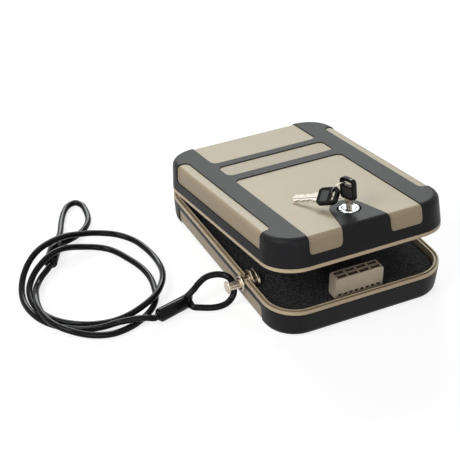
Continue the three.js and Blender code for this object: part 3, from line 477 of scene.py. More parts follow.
def faded(colour, share):
    """A colour moved a share of the way to its own grey."""
    grey = sum(colour) / len(colour)
    return tuple(value + (grey - value) * share for value in colour)


def tan_plastic():
    """Satin moulded tan plastic with a faint grain, and painted shade in its grooves."""
    colour = finish().tan
    made = Finish("Tan Moulding", Specular_IOR_Level=0.4)
    made.mottled(colour, 0.98, 1.02, 0.05, 3)
    # Painted shade: a warm darker tint deep in the shell's grooves.
    made.painted_shade_in_hollows(0.002, (0.5, 0.42, 0.34))
    made.rough(0.4, 0.46, 0.004, 3)
    made.bump(made.noise(finish().grain * 1.4, 3), 0.00002, 0.3)
    return made.material


def rim_highlight_plastic():
    """Painted highlight: the rims' tan is made lighter than the panels."""
    colour = finish().tan
    made = Finish("Tan Rim", Specular_IOR_Level=0.45)
    made.mottled(colour, 1.62, 1.7, 0.05, 3)
    made.rough(0.34, 0.42, 0.004, 3)
    made.bump(made.noise(finish().grain * 1.4, 3), 0.00002, 0.3)
    return made.material


def label_plastic():
    """The bare panel across the lid: a paler tan, matte and faintly mottled."""
    colour = faded(finish().tan, 0.3)
    made = Finish("Bare Label Panel", Specular_IOR_Level=0.22)
    made.mottled(colour, 1.24, 1.4, 0.006, 4, 0.6)
    made.rough(0.46, 0.58, 0.003, 3)
    made.bump(made.noise(finish().grain * 2, 3), 0.00003, 0.5)
    return made.material


def dark_plastic():
    """Dark skin with a finely textured surface."""
    colour = finish().dark
    made = Finish("Dark Textured Skin", Specular_IOR_Level=0.1)
    made.mottled(colour, 0.9, 1.12, 0.004, 3)
    made.rough(0.38, 0.44, 0.0015, 2)
    grain = made.bump(made.noise(finish().grain * 1.8, 2), 0.00002, 0.25)
    made.bump(made.cells(finish().grain), 0.00003, 0.35, Normal=grain)
    return made.material


def keeper_plastic():
    """Matte tan plastic of the latch keeper, with fine lines from its mould and painted shade in
    its pockets.
    """
    colour = finish().keeper
    made = Finish("Keeper Moulding", Specular_IOR_Level=0.35)
    made.mottled(colour, 0.93, 1.05, 0.012, 4)
    # Painted shade: dark brown deep in the keeper's pockets and notches.
    made.painted_shade_in_hollows(0.006, (0.14, 0.09, 0.07), 0.4, 0.95)
    made.rough(0.5, 0.62, 0.003, 3)
    wave = {"Scale": 1 / 0.02, "Distortion": 1.5, "bands_direction": "Z"}
    lines = made.add("ShaderNodeTexWave", made.place, **wave).outputs["Fac"]
    drawn = made.bump(lines, 0.00003, 0.5)
    made.bump(made.noise(0.0008, 3), 0.00003, 0.5, Normal=drawn)
    return made.material


def foam_black():
    """Open-cell foam: dark pores, with painted highlights where a few pore walls catch the light.
    """
    colour = finish().foam
    made = Finish("Open Cell Foam", Specular_IOR_Level=0.22)
    pore = finish().pore
    # Painted highlight: light flecks in the base colour for lit pore walls.
    painted_glints = made.noise(pore * 0.9, 2, 0.7)
    made.colours(painted_glints, shade(colour, 0.4), shade(colour, 6.5), 0.45, 0.72)
    made.rough(0.7, 0.95, pore, 2)
    soft = made.bump(made.noise(pore * 2.4, 3, 0.6), 0.0006, 0.8)
    made.bump(made.cells(pore), 0.0009, Normal=soft)
    return made.material


def black_vinyl():
    """Glossy vinyl coat of the steel cable."""
    colour = finish().vinyl
    made = Finish("Black Vinyl Coat", Specular_IOR_Level=0.12)
    made.mottled(colour, 0.85, 1.2, 0.01, 3)
    made.rough(0.12, 0.18, 0.02, 2)
    made.bump(made.noise(0.012, 2), 0.00006, 0.25)
    return made.material


def sleeve_vinyl():
    """Shrunk sleeve over the ferrules, less glossy than the cable."""
    colour = finish().vinyl
    made = Finish("Shrunk Sleeve", Specular_IOR_Level=0.12)
    made.mottled(colour, 0.9, 1.4, 0.008, 3)
    made.rough(0.18, 0.26, 0.006, 3)
    made.bump(made.noise(0.004, 2), 0.00005, 0.4)
    return made.material


def gloss_black():
    """Moulded key head plastic with a high gloss."""
    made = Finish("Key Head Plastic", Specular_IOR_Level=0.16)
    made.colours(made.noise(0.004, 3), (0.0035, 0.0035, 0.004), (0.006, 0.006, 0.0065))
    made.rough(0.1, 0.16, 0.002, 3)
    made.bump(made.noise(0.0009, 2), 0.00001, 0.3)
    return made.material


def matte_black():
    """The sunk panel on each key head, finely textured."""
    made = Finish("Key Head Panel", Specular_IOR_Level=0.4)
    made.colours(made.noise(0.002, 3), (0.012, 0.012, 0.013), (0.02, 0.02, 0.021))
    made.rough(0.4, 0.5, 0.001, 3)
    made.bump(made.noise(0.0006, 2), 0.00003, 0.6)
    return made.material


def metal_finish(name, colour, low, high):
    """A metal whose colour and gloss vary a little, with fine tool marks."""
    made = Finish(name, Metallic=1.0)
    made.mottled(colour, 0.94, 1.04, 0.003, 3)
    made.rough(low, high, 0.002, 4, 0.6)
    made.bump(made.noise(0.0005, 3), 0.00001, 0.3)
    return made


def nickel():
    return metal_finish("Satin Nickel", (0.6, 0.52, 0.41), 0.26, 0.36).material


def lock_chrome():
    """Polished chrome of the lock, with a painted shadow line where its pieces meet."""
    made = Finish("Lock Chrome", Metallic=1.0)
    colour = (0.8, 0.8, 0.81)
    made.mottled(colour, 0.95, 1.03, 0.003, 3)
    place, along = JOINTS["lock_turn"]["pos_m"], JOINTS["lock_turn"]["axis"]
    _, _, bore, _ = reach("lock_housing", place, along)
    _, _, _, barrel = reach("lock_plug", place, along)
    away = made.from_line(place, along)
    # Painted shadow: a dark ring on the face between the plug and the housing.
    made.tint(made.near(away, (bore + barrel) / 2, LOCK_SEAM_SHADOW), (0.12, 0.12, 0.12))
    made.rough(0.12, 0.2, 0.002, 4, 0.6)
    made.bump(made.noise(0.0008, 3), 0.00001, 0.4)
    return made.material


def key_nickel():
    """Nickel of the key blades, with painted shade in the grooves that run along them."""
    made = metal_finish("Bright Key Nickel", (0.82, 0.77, 0.68), 0.2, 0.3)
    # Painted shade: brown deep in the blade's grooves.
    made.painted_shade_in_hollows(0.001, (0.25, 0.19, 0.13), 0.3, 0.95)
    return made.material


def spring_steel():
    return metal_finish("Key Ring Steel", (0.5, 0.45, 0.39), 0.22, 0.32).material


def zinc():
    return metal_finish("Zinc Plated Steel", (0.52, 0.52, 0.52), 0.28, 0.42).material


# Shapes


def body_of(node):
    return NODES[node]["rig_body"]


def put(name, data):
    """A new object in the scene."""
    made = bpy.data.objects.new(name, data)
    bpy.context.scene.collection.objects.link(made)
    return made


def evaluated_mesh(piece):
    """A plain mesh of a piece with its modifiers applied."""
    bpy.context.view_layer.update()
    evaluated = piece.evaluated_get(bpy.context.evaluated_depsgraph_get())
    mesh = bpy.data.meshes.new_from_object(evaluated)
    mesh.name = piece.name
    return mesh


def soften(shape):
    """Smooth faces, with a hard line only where the surface turns sharply."""
    for face in shape.faces:
        face.smooth = True
    for edge in shape.edges:
        edge.smooth = edge.calc_face_angle(0) < SHARP


def merged_copy(node, name, material):
    """A piece of a node's triangles, joined up and with its flat faces made whole."""
    mesh = NODES[node].data.copy()
    mesh.name = name
    mesh.materials.clear()
    mesh.materials.append(material)
    shape = bmesh.new()
    shape.from_mesh(mesh)
    bmesh.ops.remove_doubles(shape, verts=shape.verts, dist=MERGE)
    bmesh.ops.dissolve_limit(
        shape, angle_limit=FLAT, verts=shape.verts, edges=shape.edges, delimit={"NORMAL"}
    )
    bmesh.ops.recalc_face_normals(shape, faces=shape.faces)
    soften(shape)
    shape.to_mesh(mesh)
    shape.free()
    return put(name, mesh)


def dress(node, name, material, edge, segments=2):
    """A finer piece in the place of a node: whole faces, rounded edges and its own finish."""
    piece = merged_copy(node, name, material)
    rounding = piece.modifiers.new("Edges", "BEVEL")
    rounding.width = edge
    rounding.segments = segments
    rounding.limit_method = "ANGLE"
    rounding.angle_limit = SHARP
    rounding.use_clamp_overlap = True
    level = piece.modifiers.new("Flat faces", "WEIGHTED_NORMAL")
    level.keep_sharp = True
    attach(piece, body_of(node))
    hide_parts(node)
    return piece


def dress_all(nodes, material, edge):
    """Like pieces, each named for its node."""
    for node in nodes:
        dress(node, f"{node}_dressed", material, edge)


def repaint(piece, material, chosen):
    """Gives the faces that chosen picks from a piece another finish."""
    piece.data.materials.append(material)
    for face in chosen(piece.data.polygons):
        face.material_index = len(piece.data.materials) - 1


def top_way(faces):
    """The way that the top of a piece faces."""
    return max(faces, key=lambda face: face.area * (face.normal.z > 0.9)).normal.copy()


def label_faces(faces):
    """The smallest of the lid's flat top panels that lie across its middle."""
    up = top_way(faces)
    top = max(face.center.dot(up) for face in faces if face.normal.dot(up) > 0.999)
    panels = [
        face
        for face in faces
        if face.normal.dot(up) > 0.999
        and face.center.dot(up) > top - RIM_GAP
        and abs(face.center.x) < LABEL_OFF_MIDDLE
    ]
    return [min(panels, key=lambda face: face.area)]


def rim_faces(skin, out):
    """Finds the outer wall and the flat lip of the rim that lies past a skin, on the way out."""
    corners = [vertex.co for vertex in NODES[skin].data.vertices]
    start = max(corner.dot(out) for corner in corners) + RIM_GAP
    middle = sum(corners, Vector()) / len(corners)

    def find(faces):
        found = []
        for face in faces:
            way, turn = face.center.dot(out) - start, face.normal.dot(out)
            outward = face.normal.dot(face.center - middle) > 0
            wall = outward and abs(turn) < 0.5 and abs(way - RIM_HEIGHT / 2) < RIM_GAP
            lip = turn > 0.9 and abs(way - RIM_HEIGHT) < RIM_GAP
            if wall or lip:
                found.append(face)
        return found

    return find


def sunk_faces(faces):
    """The faces that lie a little below the two broad faces of a flat piece."""
    broad = max(faces, key=lambda face: face.area).normal.copy()
    flat = [face for face in faces if abs(face.normal.dot(broad)) > 0.99]
    ways = [face.center.dot(broad) for face in flat]
    middle, half = (max(ways) + min(ways)) / 2, (max(ways) - min(ways)) / 2
    return [f for f, way in zip(flat, ways) if half * 0.6 < abs(way - middle) < half * 0.95]


def reach(node, place, along):
    """Where a node starts and ends along a line, and how far out it goes from the line."""
    along = Vector(along).normalized()
    spots = [vertex.co - Vector(place) for vertex in NODES[node].data.vertices]
    ways = [spot.dot(along) for spot in spots]
    outs = [(spot - along * way).length for spot, way in zip(spots, ways)]
    return min(ways), max(ways), min(outs), max(outs)


def mesh_piece(name, verts, faces, material, body):
    """A new smooth piece from its points and faces, in metres."""
    mesh = bpy.data.meshes.new(name)
    mesh.from_pydata([tuple(v) for v in verts], [], faces)
    mesh.materials.append(material)
    shape = bmesh.new()
    shape.from_mesh(mesh)
    bmesh.ops.remove_doubles(shape, verts=shape.verts, dist=1e-7)
    bmesh.ops.recalc_face_normals(shape, faces=shape.faces)
    soften(shape)
    shape.to_mesh(mesh)
    shape.free()
    piece = put(name, mesh)
    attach(piece, body)
    return piece


def bridges(rings, count):
    """The faces between rings of count points each."""
    faces = []
    for ring in range(rings - 1):
        for i in range(count):
            a, b = ring * count + i, ring * count + (i + 1) % count
            faces.append((a, b, b + count, a + count))
    return faces


def lathe(profile, place, along, steps=48):
    """Points and faces of a profile of (distance, radius) turned about a line."""
    along = along.normalized()
    side = along.orthogonal().normalized()
    across = along.cross(side)
    verts = []
    for distance, radius in profile:
        for i in range(steps):
            angle = 2 * math.pi * i / steps
            out = side * math.cos(angle) + across * math.sin(angle)
            verts.append(place + along * distance + out * max(radius, 1e-7))
    return verts, bridges(len(profile), steps)


# Repeated pieces, made by Geometry Nodes


class Graph(Nodes):
    """A Geometry Nodes tree with named inputs, whose result becomes a plain mesh piece."""

    def __init__(self, name, **values):
        self.name = name
        self.values = values
        self.tree = bpy.data.node_groups.new(name, "GeometryNodeTree")
        for label, value in values.items():
            kind = "NodeSocketInt" if isinstance(value, int) else "NodeSocketFloat"
            self.tree.interface.new_socket(label, in_out="INPUT", socket_type=kind)
        self.tree.interface.new_socket(
            "Geometry", in_out="OUTPUT", socket_type="NodeSocketGeometry"
        )
        self.inputs = self.tree.nodes.new("NodeGroupInput").outputs

    def join(self, *geometries):
        node = self.add("GeometryNodeJoinGeometry")
        for geometry in geometries:
            self.link(geometry, node.inputs[0])
        return node.outputs[0]

    def row(self, count, step):
        """Points in a row along Z."""
        offset = self.out("ShaderNodeCombineXYZ", Z=step)
        return self.out("GeometryNodeMeshLine", Count=count, Offset=offset)

    def tube(self, line, profile):
        return self.out("GeometryNodeCurveToMesh", line, profile, Fill_Caps=True)

    def piece(self, geometry, material, place, along, body):
        """Runs the tree and puts its Z axis on the line from place."""
        whole = self.out("GeometryNodeRealizeInstances", geometry)
        self.add("NodeGroupOutput", self.out("GeometryNodeSetMaterial", whole, Material=material))
        made = put(self.name, bpy.data.meshes.new(self.name))
        modifier = made.modifiers.new("Graph", "NODES")
        modifier.node_group = self.tree
        for item in self.tree.interface.items_tree:
            if item.in_out == "INPUT":
                modifier[item.identifier] = self.values[item.name]
        mesh = evaluated_mesh(made)
        made.modifiers.clear()
        turn = Vector(along).to_track_quat("Z", "Y").to_matrix().to_4x4()
        mesh.transform(Matrix.Translation(Vector(place)) @ turn)
        made.data = mesh
        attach(made, body)
        return made


def thread_rings(name, place, along, radius, length, material, body, arcs=((0.0, 360.0),)):
    """Rows of fine ridges round a line, each ridge cut into arcs of (start, sweep) degrees."""
    pitch = sizes().thread_pitch
    count = int(length / pitch)
    graph = Graph(name, Pitch=pitch, Radius=radius, Ridge=pitch * THREAD_RIDGE, Count=count)
    profile = graph.out(
        "GeometryNodeCurvePrimitiveCircle", Resolution=4, Radius=graph.inputs["Ridge"]
    )
    ridges = []
    for start, sweep in arcs:
        line = graph.out(
            "GeometryNodeCurveArc",
            Resolution=max(6, round(sweep / 10)),
            Radius=graph.inputs["Radius"],
            Start_Angle=math.radians(start),
            Sweep_Angle=math.radians(sweep),
        )
        ridges.append(graph.tube(line, profile))
    rows = graph.row(graph.inputs["Count"], graph.inputs["Pitch"])
    made = graph.out("GeometryNodeInstanceOnPoints", rows, Instance=graph.join(*ridges))
    return graph.piece(made, material, place, along, body)


# The tether cable


def ferrule_point(ferrule, along, across=0.0, up=0.0):
    (x, y), degrees = ferrule
    angle = math.radians(degrees)
    ahead = Vector((math.cos(angle), math.sin(angle), 0))
    side = Vector((-ahead.y, ahead.x, 0))
    return Vector((x, y, FERRULE_HEIGHT)) + ahead * along + side * across + Vector((0, 0, up))


def strand_points(ferrule, side, rise, alongs):
    across = side * STRAND_SPREAD * math.cos(rise)
    up = side * STRAND_SPREAD * math.sin(rise)
    return [ferrule_point(ferrule, along, across, up) for along in alongs]


def eye_route(ferrule, rise, stops):
    """One eye's stops, from the mouth of its ferrule and back to it."""
    outside = -PART_GAP
    straight = -PART_GAP - CABLE_DIAMETER / 2
    line = strand_points(ferrule, -1, rise, (outside, straight))
    line += [Vector(stop) for stop in stops]
    return line + strand_points(ferrule, 1, rise, (straight, outside))


def near_eye_route():
    return eye_route(NEAR_FERRULE, NEAR_EYE_RISE, NEAR_EYE_STOPS)


def far_eye_route():
    return eye_route(FAR_FERRULE, FAR_EYE_RISE, FAR_EYE_STOPS)


def cable_route():
    """Every stop of the cable, from one buried end to the other, in millimetres."""
    buried = CABLE_DIAMETER
    leaving = FERRULE_LENGTH + PART_GAP
    beyond = leaving + CABLE_DIAMETER / 2
    stops = strand_points(NEAR_FERRULE, -1, NEAR_EYE_RISE, (buried,)) + near_eye_route()
    stops += [ferrule_point(NEAR_FERRULE, leaving), ferrule_point(NEAR_FERRULE, beyond)]
    for degrees, radius, height in COIL_STOPS:
        angle = math.radians(degrees)
        x = COIL_CENTRE[0] + radius * math.cos(angle)
        y = COIL_CENTRE[1] + radius * math.sin(angle)
        stops.append(Vector((x, y, height)))
    stops += [ferrule_point(FAR_FERRULE, beyond), ferrule_point(FAR_FERRULE, leaving)]
    return stops + far_eye_route() + strand_points(FAR_FERRULE, 1, FAR_EYE_RISE, (buried,))


def smooth_line(stops, spacing):
    """Points at most spacing apart on a centripetal curve through the stops."""
    line = []
    ends = [2 * stops[0] - stops[1], *stops, 2 * stops[-1] - stops[-2]]
    for a, b, c, d in zip(ends, ends[1:], ends[2:], ends[3:]):
        ta, tb, tc = (math.sqrt(max((q - p).length, 1e-6)) for p, q in ((a, b), (b, c), (c, d)))
        out = ((b - a) / ta - (c - a) / (ta + tb) + (c - b) / tb) * tb
        into = ((c - b) / tb - (d - b) / (tb + tc) + (d - c) / tc) * tb
        steps = max(1, math.ceil((c - b).length / spacing))
        for i in range(steps):
            t = i / steps
            p = b * (2 * t**3 - 3 * t**2 + 1) + c * (3 * t**2 - 2 * t**3)
            line.append(p + out * (t**3 - 2 * t**2 + t) + into * (t**3 - t**2))
    line.append(stops[-1])
    return line


def walk(line, distance):
    """The point that lies a distance along a line."""
    for a, b in zip(line, line[1:]):
        step = (b - a).length
        if distance <= step:
            return a.lerp(b, distance / step)
        distance -= step
    return line[-1]


class SAFE_OT_camera(bpy.types.Operator):
    """Places the camera where the photograph was taken."""

    bl_idname = "safe.camera"
    bl_label = "Place Camera"

    def execute(self, context):
        view = studio()
        a, e = math.radians(view.azimuth), math.radians(view.elevation)
        back = Vector((math.sin(a) * math.cos(e), -math.cos(a) * math.cos(e), math.sin(e)))
        right = Vector((math.cos(a), math.sin(a), 0))
        up = back.cross(right)
        data = bpy.data.cameras.new("Camera")
        data.sensor_width = SENSOR
        data.lens = view.focal * SENSOR / PICTURE
        data.clip_end = 20
        camera = put("Camera", data)
        turn = Matrix((right, up, back)).transposed().to_4x4()
        place = Vector(view.target) + back * view.distance
        camera.matrix_world = Matrix.Translation(place) @ turn
        context.scene.camera = camera
        return {"FINISHED"}


class SAFE_OT_cable(bpy.types.Operator):
    """Makes the tether cable with its two eyes, and the sleeves that close them."""

    bl_idname = "safe.cable"
    bl_label = "Make Cable"

    def sleeve(self, name, ferrule, node, material):
        """A square-shouldered sleeve with a small collar on the cable's side."""
        shoulder = FERRULE_LENGTH - FERRULE_COLLAR_LENGTH
        stretches = (
            (0, FERRULE_RADIUS, FERRULE_MOUTH),
            (shoulder, FERRULE_RADIUS, FERRULE_SHOULDER),
            (shoulder, FERRULE_COLLAR_RADIUS, COLLAR_START),
            (FERRULE_LENGTH, FERRULE_COLLAR_RADIUS, COLLAR_END),
        )
        profile = [(0, 0)]
        for start, radius, outline in stretches:
            profile += [(start + along, radius - under) for along, under in outline]
        profile.append((FERRULE_LENGTH, 0))
        start = ferrule_point(ferrule, 0)
        verts, faces = lathe(profile, start, ferrule_point(ferrule, 1) - start)
        verts = [v * MM for v in verts]
        piece = mesh_piece(name, verts, faces, material, "base")
        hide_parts(node)
        return piece

    def web(self, name, ferrule, route, material):
        """The vinyl that fills the narrow V between the two strands of an eye."""
        line = smooth_line(route, 1.0)
        back = list(reversed(line))
        ahead = ferrule_point(ferrule, 1) - ferrule_point(ferrule, 0)
        rings = []
        for i in range(WEB_STEPS + 1):
            share = i / WEB_STEPS
            distance = share * sizes().web_length / MM
            one, two = walk(line, distance), walk(back, distance)
            middle = (one + two) / 2 + ahead * WEB_DRAWN_IN * share**2
            normal = ahead.cross(two - one).normalized()
            thick = CABLE_DIAMETER / 2 * (WEB_THICKNESS - WEB_TAPER * share)
            thin = thick * (1 - WEB_DISH * share)
            across = ((one, thick), (middle, thin), (two, thick))
            upper = [spot + normal * half for spot, half in across]
            lower = [spot - normal * half for spot, half in reversed(across)]
            rings.append(upper + lower)
        verts = [spot * MM for ring in rings for spot in ring]
        count = len(rings[0])
        faces = bridges(len(rings), count)
        faces += [tuple(range(count)), tuple(range(len(verts) - count, len(verts)))]
        piece = mesh_piece(name, verts, faces, material, "base")
        return piece

    def execute(self, context):
        shrunk = sleeve_vinyl()
        fittings = [
            self.sleeve("sleeve_near", NEAR_FERRULE, "ferrule_near", shrunk),
            self.sleeve("sleeve_far", FAR_FERRULE, "ferrule_far", shrunk),
            self.web("web_near", NEAR_FERRULE, near_eye_route(), shrunk),
            self.web("web_far", FAR_FERRULE, far_eye_route(), shrunk),
        ]
        line = smooth_line(cable_route(), 2.0)
        curve = bpy.data.curves.new("tether_cable", "CURVE")
        curve.dimensions = "3D"
        curve.bevel_depth = CABLE_DIAMETER / 2 * MM
        curve.bevel_resolution = 6
        curve.use_fill_caps = True
        curve.materials.append(black_vinyl())
        spline = curve.splines.new("POLY")
        spline.points.add(len(line) - 1)
        for point, place in zip(spline.points, line):
            point.co = (*(place * MM), 1)
        spline.use_smooth = True
        cable = put("tether_cable", curve)
        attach(cable, "base")
        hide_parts("cable_run", "cable_eye_near", "cable_eye_far")
        return {"FINISHED"}


class SAFE_OT_shells(bpy.types.Operator):
    """Dresses the tan shells and the dark skins of the base and the lid."""

    bl_idname = "safe.shells"
    bl_label = "Dress Shells"

    def execute(self, context):
        tan, rim, dark, edge = tan_plastic(), rim_highlight_plastic(), dark_plastic(), sizes().edge
        base = dress("base_shell", "base_tan_shell", tan, edge)
        # Painted highlight: the base rim's outer wall and lip get the lighter rim tan.
        repaint(base, rim, rim_faces("base_skin", Vector((0, 0, 1))))
        lid = dress("lid_shell", "lid_tan_shell", tan, edge)
        repaint(lid, label_plastic(), label_faces)
        # Painted highlight on the lid's rim, as on the base's.
        repaint(lid, rim, rim_faces("lid_skin", -top_way(lid.data.polygons)))
        dress("base_skin", "base_dark_skin", dark, edge)
        dress("lid_skin", "lid_dark_skin", dark, edge)
        return {"FINISHED"}


class SAFE_OT_foam(bpy.types.Operator):
    """Makes the two foam pads with soft edges and an uneven, porous surface."""

    bl_idname = "safe.foam"
    bl_label = "Make Foam"

    def pad(self, node, name, material):
        """A pad whose surface rises and falls a little in slow waves."""
        piece = merged_copy(node, name, material)
        remesh = piece.modifiers.new("Cells", "REMESH")
        remesh.mode = "VOXEL"
        remesh.voxel_size = sizes().foam_cell * 1
        smooth = piece.modifiers.new("Soften", "SMOOTH")
        smooth.factor = 0.5
        smooth.iterations = 2
        made = evaluated_mesh(piece)
        piece.modifiers.clear()
        piece.data = made
        coords = np.empty(len(made.vertices) * 3)
        made.vertices.foreach_get("co", coords)
        coords = coords.reshape(-1, 3)
        x, y = coords[:, 0], coords[:, 1]
        dip = np.sin(x * 71 + 1.3) * np.sin(y * 53 + 0.4) + 0.5 * np.sin(x * 137 + y * 91)
        coords[:, 2] += FOAM_RIPPLE * dip - FOAM_SINK
        made.vertices.foreach_set("co", coords.ravel())
        made.polygons.foreach_set("use_smooth", [True] * len(made.polygons))
        made.update()
        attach(piece, body_of(node))
        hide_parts(node)
        return piece

    def execute(self, context):
        material = foam_black()
        self.pad("base_foam", "base_foam_pad", material)
        self.pad("lid_foam", "lid_foam_pad", material)
        return {"FINISHED"}


class SAFE_OT_keeper(bpy.types.Operator):
    """Dresses the latch keeper and its screws."""

    bl_idname = "safe.keeper"
    bl_label = "Dress Keeper"

    def execute(self, context):
        dress("latch_keeper", "keeper_block", keeper_plastic(), sizes().edge * 0.6)
        dress_all(("keeper_screw_left", "keeper_screw_right"), zinc(), sizes().metal_edge)
        return {"FINISHED"}


class SAFE_OT_hinges(bpy.types.Operator):
    """Dresses the two hinge pins."""

    bl_idname = "safe.hinges"
    bl_label = "Dress Hinges"

    def execute(self, context):
        dress_all(("hinge_pin_left", "hinge_pin_right"), zinc(), sizes().metal_edge)
        return {"FINISHED"}


class SAFE_OT_lock(bpy.types.Operator):
    """Dresses the lock: housing with its thread, barrel, cam, washer, screw and nut."""

    bl_idname = "safe.lock"
    bl_label = "Dress Lock"

    def thread(self, material):
        """Threads on the two round sides of the housing, between its flats."""
        turn = JOINTS["lock_turn"]
        place, along = Vector(turn["pos_m"]), -Vector(turn["axis"]).normalized()
        low, _, _, _ = reach("lock_housing", place, along)
        _, nut_top, _, _ = reach("lock_nut", place, along)
        inside = [
            (v.co - place).cross(along).length
            for v in NODES["lock_housing"].data.vertices
            if (v.co - place).dot(along) < nut_top
        ]
        pitch = sizes().thread_pitch
        half = LOCK_THREAD_HALF_ARC
        made = thread_rings(
            "lock_thread",
            place + along * (low + pitch),
            along,
            max(inside) - pitch * LOCK_THREAD_DEPTH,
            nut_top - low - pitch,
            material,
            body_of("lock_housing"),
            arcs=((-half, 2 * half), (180 - half, 2 * half)),
        )

    def execute(self, context):
        bright, edge = lock_chrome(), sizes().metal_edge
        dress_all(("lock_housing", "lock_plug"), bright, edge * 2)
        dress_all(("lock_nut", "lock_cam", "cam_washer", "cam_screw"), zinc(), edge)
        self.thread(bright)
        return {"FINISHED"}


class SAFE_OT_keys(bpy.types.Operator):
    """Dresses both keys and makes the sprung ring that joins them."""

    bl_idname = "safe.keys"
    bl_label = "Dress Keys"

    def ring(self, material):
        """A sprung ring: two turns of wire side by side, where the plain ring lies."""
        slide = JOINTS["spare_key_slide"]
        place, along = slide["pos_m"], slide["axis"]
        _, _, inner, outer = reach("key_ring", place, along)
        wire = sizes().ring_wire
        graph = Graph(
            "key_ring_sprung",
            Radius=(inner + outer) / 2,
            Wire=wire / 2,
            Height=wire,
            Turns=1.93,
        )
        line = graph.out(
            "GeometryNodeCurveSpiral",
            Resolution=64,
            Rotations=graph.inputs["Turns"],
            Start_Radius=graph.inputs["Radius"],
            End_Radius=graph.inputs["Radius"],
            Height=graph.inputs["Height"],
        )
        round_wire = graph.out(
            "GeometryNodeCurvePrimitiveCircle", Resolution=12, Radius=graph.inputs["Wire"]
        )
        smooth = graph.out("GeometryNodeSetShadeSmooth", graph.tube(line, round_wire))
        along = Vector(along).normalized()
        start = Vector(place) - along * wire / 2
        made = graph.piece(smooth, material, start, along, body_of("key_ring"))
        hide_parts("key_ring")

    def execute(self, context):
        black, panel, bright, edge = gloss_black(), matte_black(), key_nickel(), sizes().metal_edge
        for number in (1, 2):
            head = dress(f"key_head_{number}", f"key_head_{number}_dressed", black, edge * 2.4, 3)
            repaint(head, panel, sunk_faces)
            dress_all([f"key_blade_{number}"], bright, edge * 0.5)
        self.ring(spring_steel())
        return {"FINISHED"}


class SAFE_OT_stud(bpy.types.Operator):
    """Dresses the cable stud with its thread, nut and disc."""

    bl_idname = "safe.stud"
    bl_label = "Dress Stud"

    def thread(self, material):
        """Threads on the stud's spindle, from the nut to its end."""
        spin = JOINTS["stud_spin"]
        place, along = Vector(spin["pos_m"]), Vector(spin["axis"]).normalized()
        _, end, _, _ = reach("cable_stud", place, along)
        nut_start, _, bore, _ = reach("stud_nut", place, along)
        pitch = sizes().thread_pitch
        made = thread_rings(
            "stud_thread",
            place + along * (nut_start + pitch / 2),
            along,
            bore - pitch * STUD_THREAD_DEPTH,
            end - nut_start - pitch / 2,
            material,
            body_of("cable_stud"),
        )

    def execute(self, context):
        bright = nickel()
        dress_all(("cable_stud", "stud_nut", "stud_disc"), bright, sizes().metal_edge * 1.4)
        self.thread(bright)
        return {"FINISHED"}


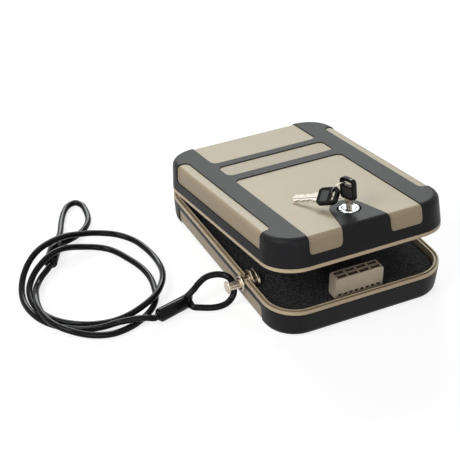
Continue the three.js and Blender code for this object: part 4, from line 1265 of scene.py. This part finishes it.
class SAFE_OT_stage(bpy.types.Operator):
    """Lays the pale floor and sets the lamps and the surround."""

    bl_idname = "safe.stage"
    bl_label = "Set Stage"

    def whiter_far_off(self, paper):
        """The floor's glow: the chosen one near the safe, rising to white further away."""
        place = paper.add("ShaderNodeTexCoord").outputs["Object"]
        away = paper.add("ShaderNodeVectorMath", place, operation="LENGTH").outputs["Value"]
        return paper.between(away, studio().floor, 1, GLOW_FROM, GLOW_WHITE, "SMOOTHSTEP")

    def floor(self):
        """A wide sheet of pale paper, which glows where it is seen and keeps the shadow."""
        mesh = bpy.data.meshes.new("floor")
        half = FLOOR_HALF
        corners = [(-half, -half, 0), (half, -half, 0), (half, half, 0), (-half, half, 0)]
        mesh.from_pydata(corners, [], [(0, 1, 2, 3)])
        material = bpy.data.materials.new("Pale Floor")
        paper = Shading(material)
        matte = paper.out("ShaderNodeBsdfDiffuse", FLOOR_PAPER)
        rising = self.whiter_far_off(paper)
        strength = paper.out("ShaderNodeMath", paper.seen(), rising, operation="MULTIPLY")
        glow = paper.out("ShaderNodeEmission", Strength=strength)
        both = paper.out("ShaderNodeAddShader", matte, glow)
        paper.add("ShaderNodeOutputMaterial", both)
        mesh.materials.append(material)
        put("floor", mesh)

    def lamp(self, name):
        """A rectangular lamp that points at the safe and doesn't show itself."""
        place, size = LAMPS[name]
        data = bpy.data.lights.new(name, "AREA")
        data.shape = "RECTANGLE"
        data.size, data.size_y = size
        data.energy = getattr(studio(), name)
        lamp = put(name, data)
        lamp.location = place
        lamp.rotation_euler = (AIM - Vector(place)).to_track_quat("-Z", "Y").to_euler()
        lamp.visible_camera = False
        return lamp

    def surround(self, context):
        """White where it is seen, and a softer light on everything matte."""
        world = bpy.data.worlds.new("Pale Surround")
        sky = Shading(world)
        light = sky.out("ShaderNodeBackground", WHITE, studio().sky)
        white = sky.out("ShaderNodeBackground", WHITE, 1)
        mix = sky.out("ShaderNodeMixShader", sky.seen(), light, white)
        sky.add("ShaderNodeOutputWorld", mix)
        context.scene.world = world

    def execute(self, context):
        self.floor()
        lamps = {name: self.lamp(name) for name in LAMPS}
        lamps["kick"].visible_diffuse = False
        lamps["rear"].data.color = REAR_TINT
        self.surround(context)
        context.scene.view_settings.view_transform = "Standard"
        return {"FINISHED"}


class SAFE_PT_panel(bpy.types.Panel):
    """Lists the steps that dress the safe."""

    bl_idname = "SAFE_PT_panel"
    bl_label = "Car Safe"
    bl_space_type = "VIEW_3D"
    bl_region_type = "UI"
    bl_category = "Car Safe"

    def draw(self, context):
        for operator in OPERATORS:
            self.layout.operator(operator.bl_idname)


OPERATORS = (
    SAFE_OT_camera,
    SAFE_OT_cable,
    SAFE_OT_shells,
    SAFE_OT_foam,
    SAFE_OT_keeper,
    SAFE_OT_hinges,
    SAFE_OT_lock,
    SAFE_OT_keys,
    SAFE_OT_stud,
    SAFE_OT_stage,
)
GROUPS = {"safe_finish": SafeFinish, "safe_sizes": SafeSizes, "safe_studio": SafeStudio}


def register():
    for group in GROUPS.values():
        bpy.utils.register_class(group)
    for name, group in GROUPS.items():
        setattr(bpy.types.Scene, name, bpy.props.PointerProperty(type=group))
    for operator in OPERATORS:
        bpy.utils.register_class(operator)
    bpy.utils.register_class(SAFE_PT_panel)


def unregister():
    bpy.utils.unregister_class(SAFE_PT_panel)
    for operator in reversed(OPERATORS):
        bpy.utils.unregister_class(operator)
    for name, group in GROUPS.items():
        delattr(bpy.types.Scene, name)
        bpy.utils.unregister_class(group)


def main():
    register()
    for operator in OPERATORS:
        group, action = operator.bl_idname.split(".")
        getattr(getattr(bpy.ops, group), action)()


if __name__ == "__main__":
    main()
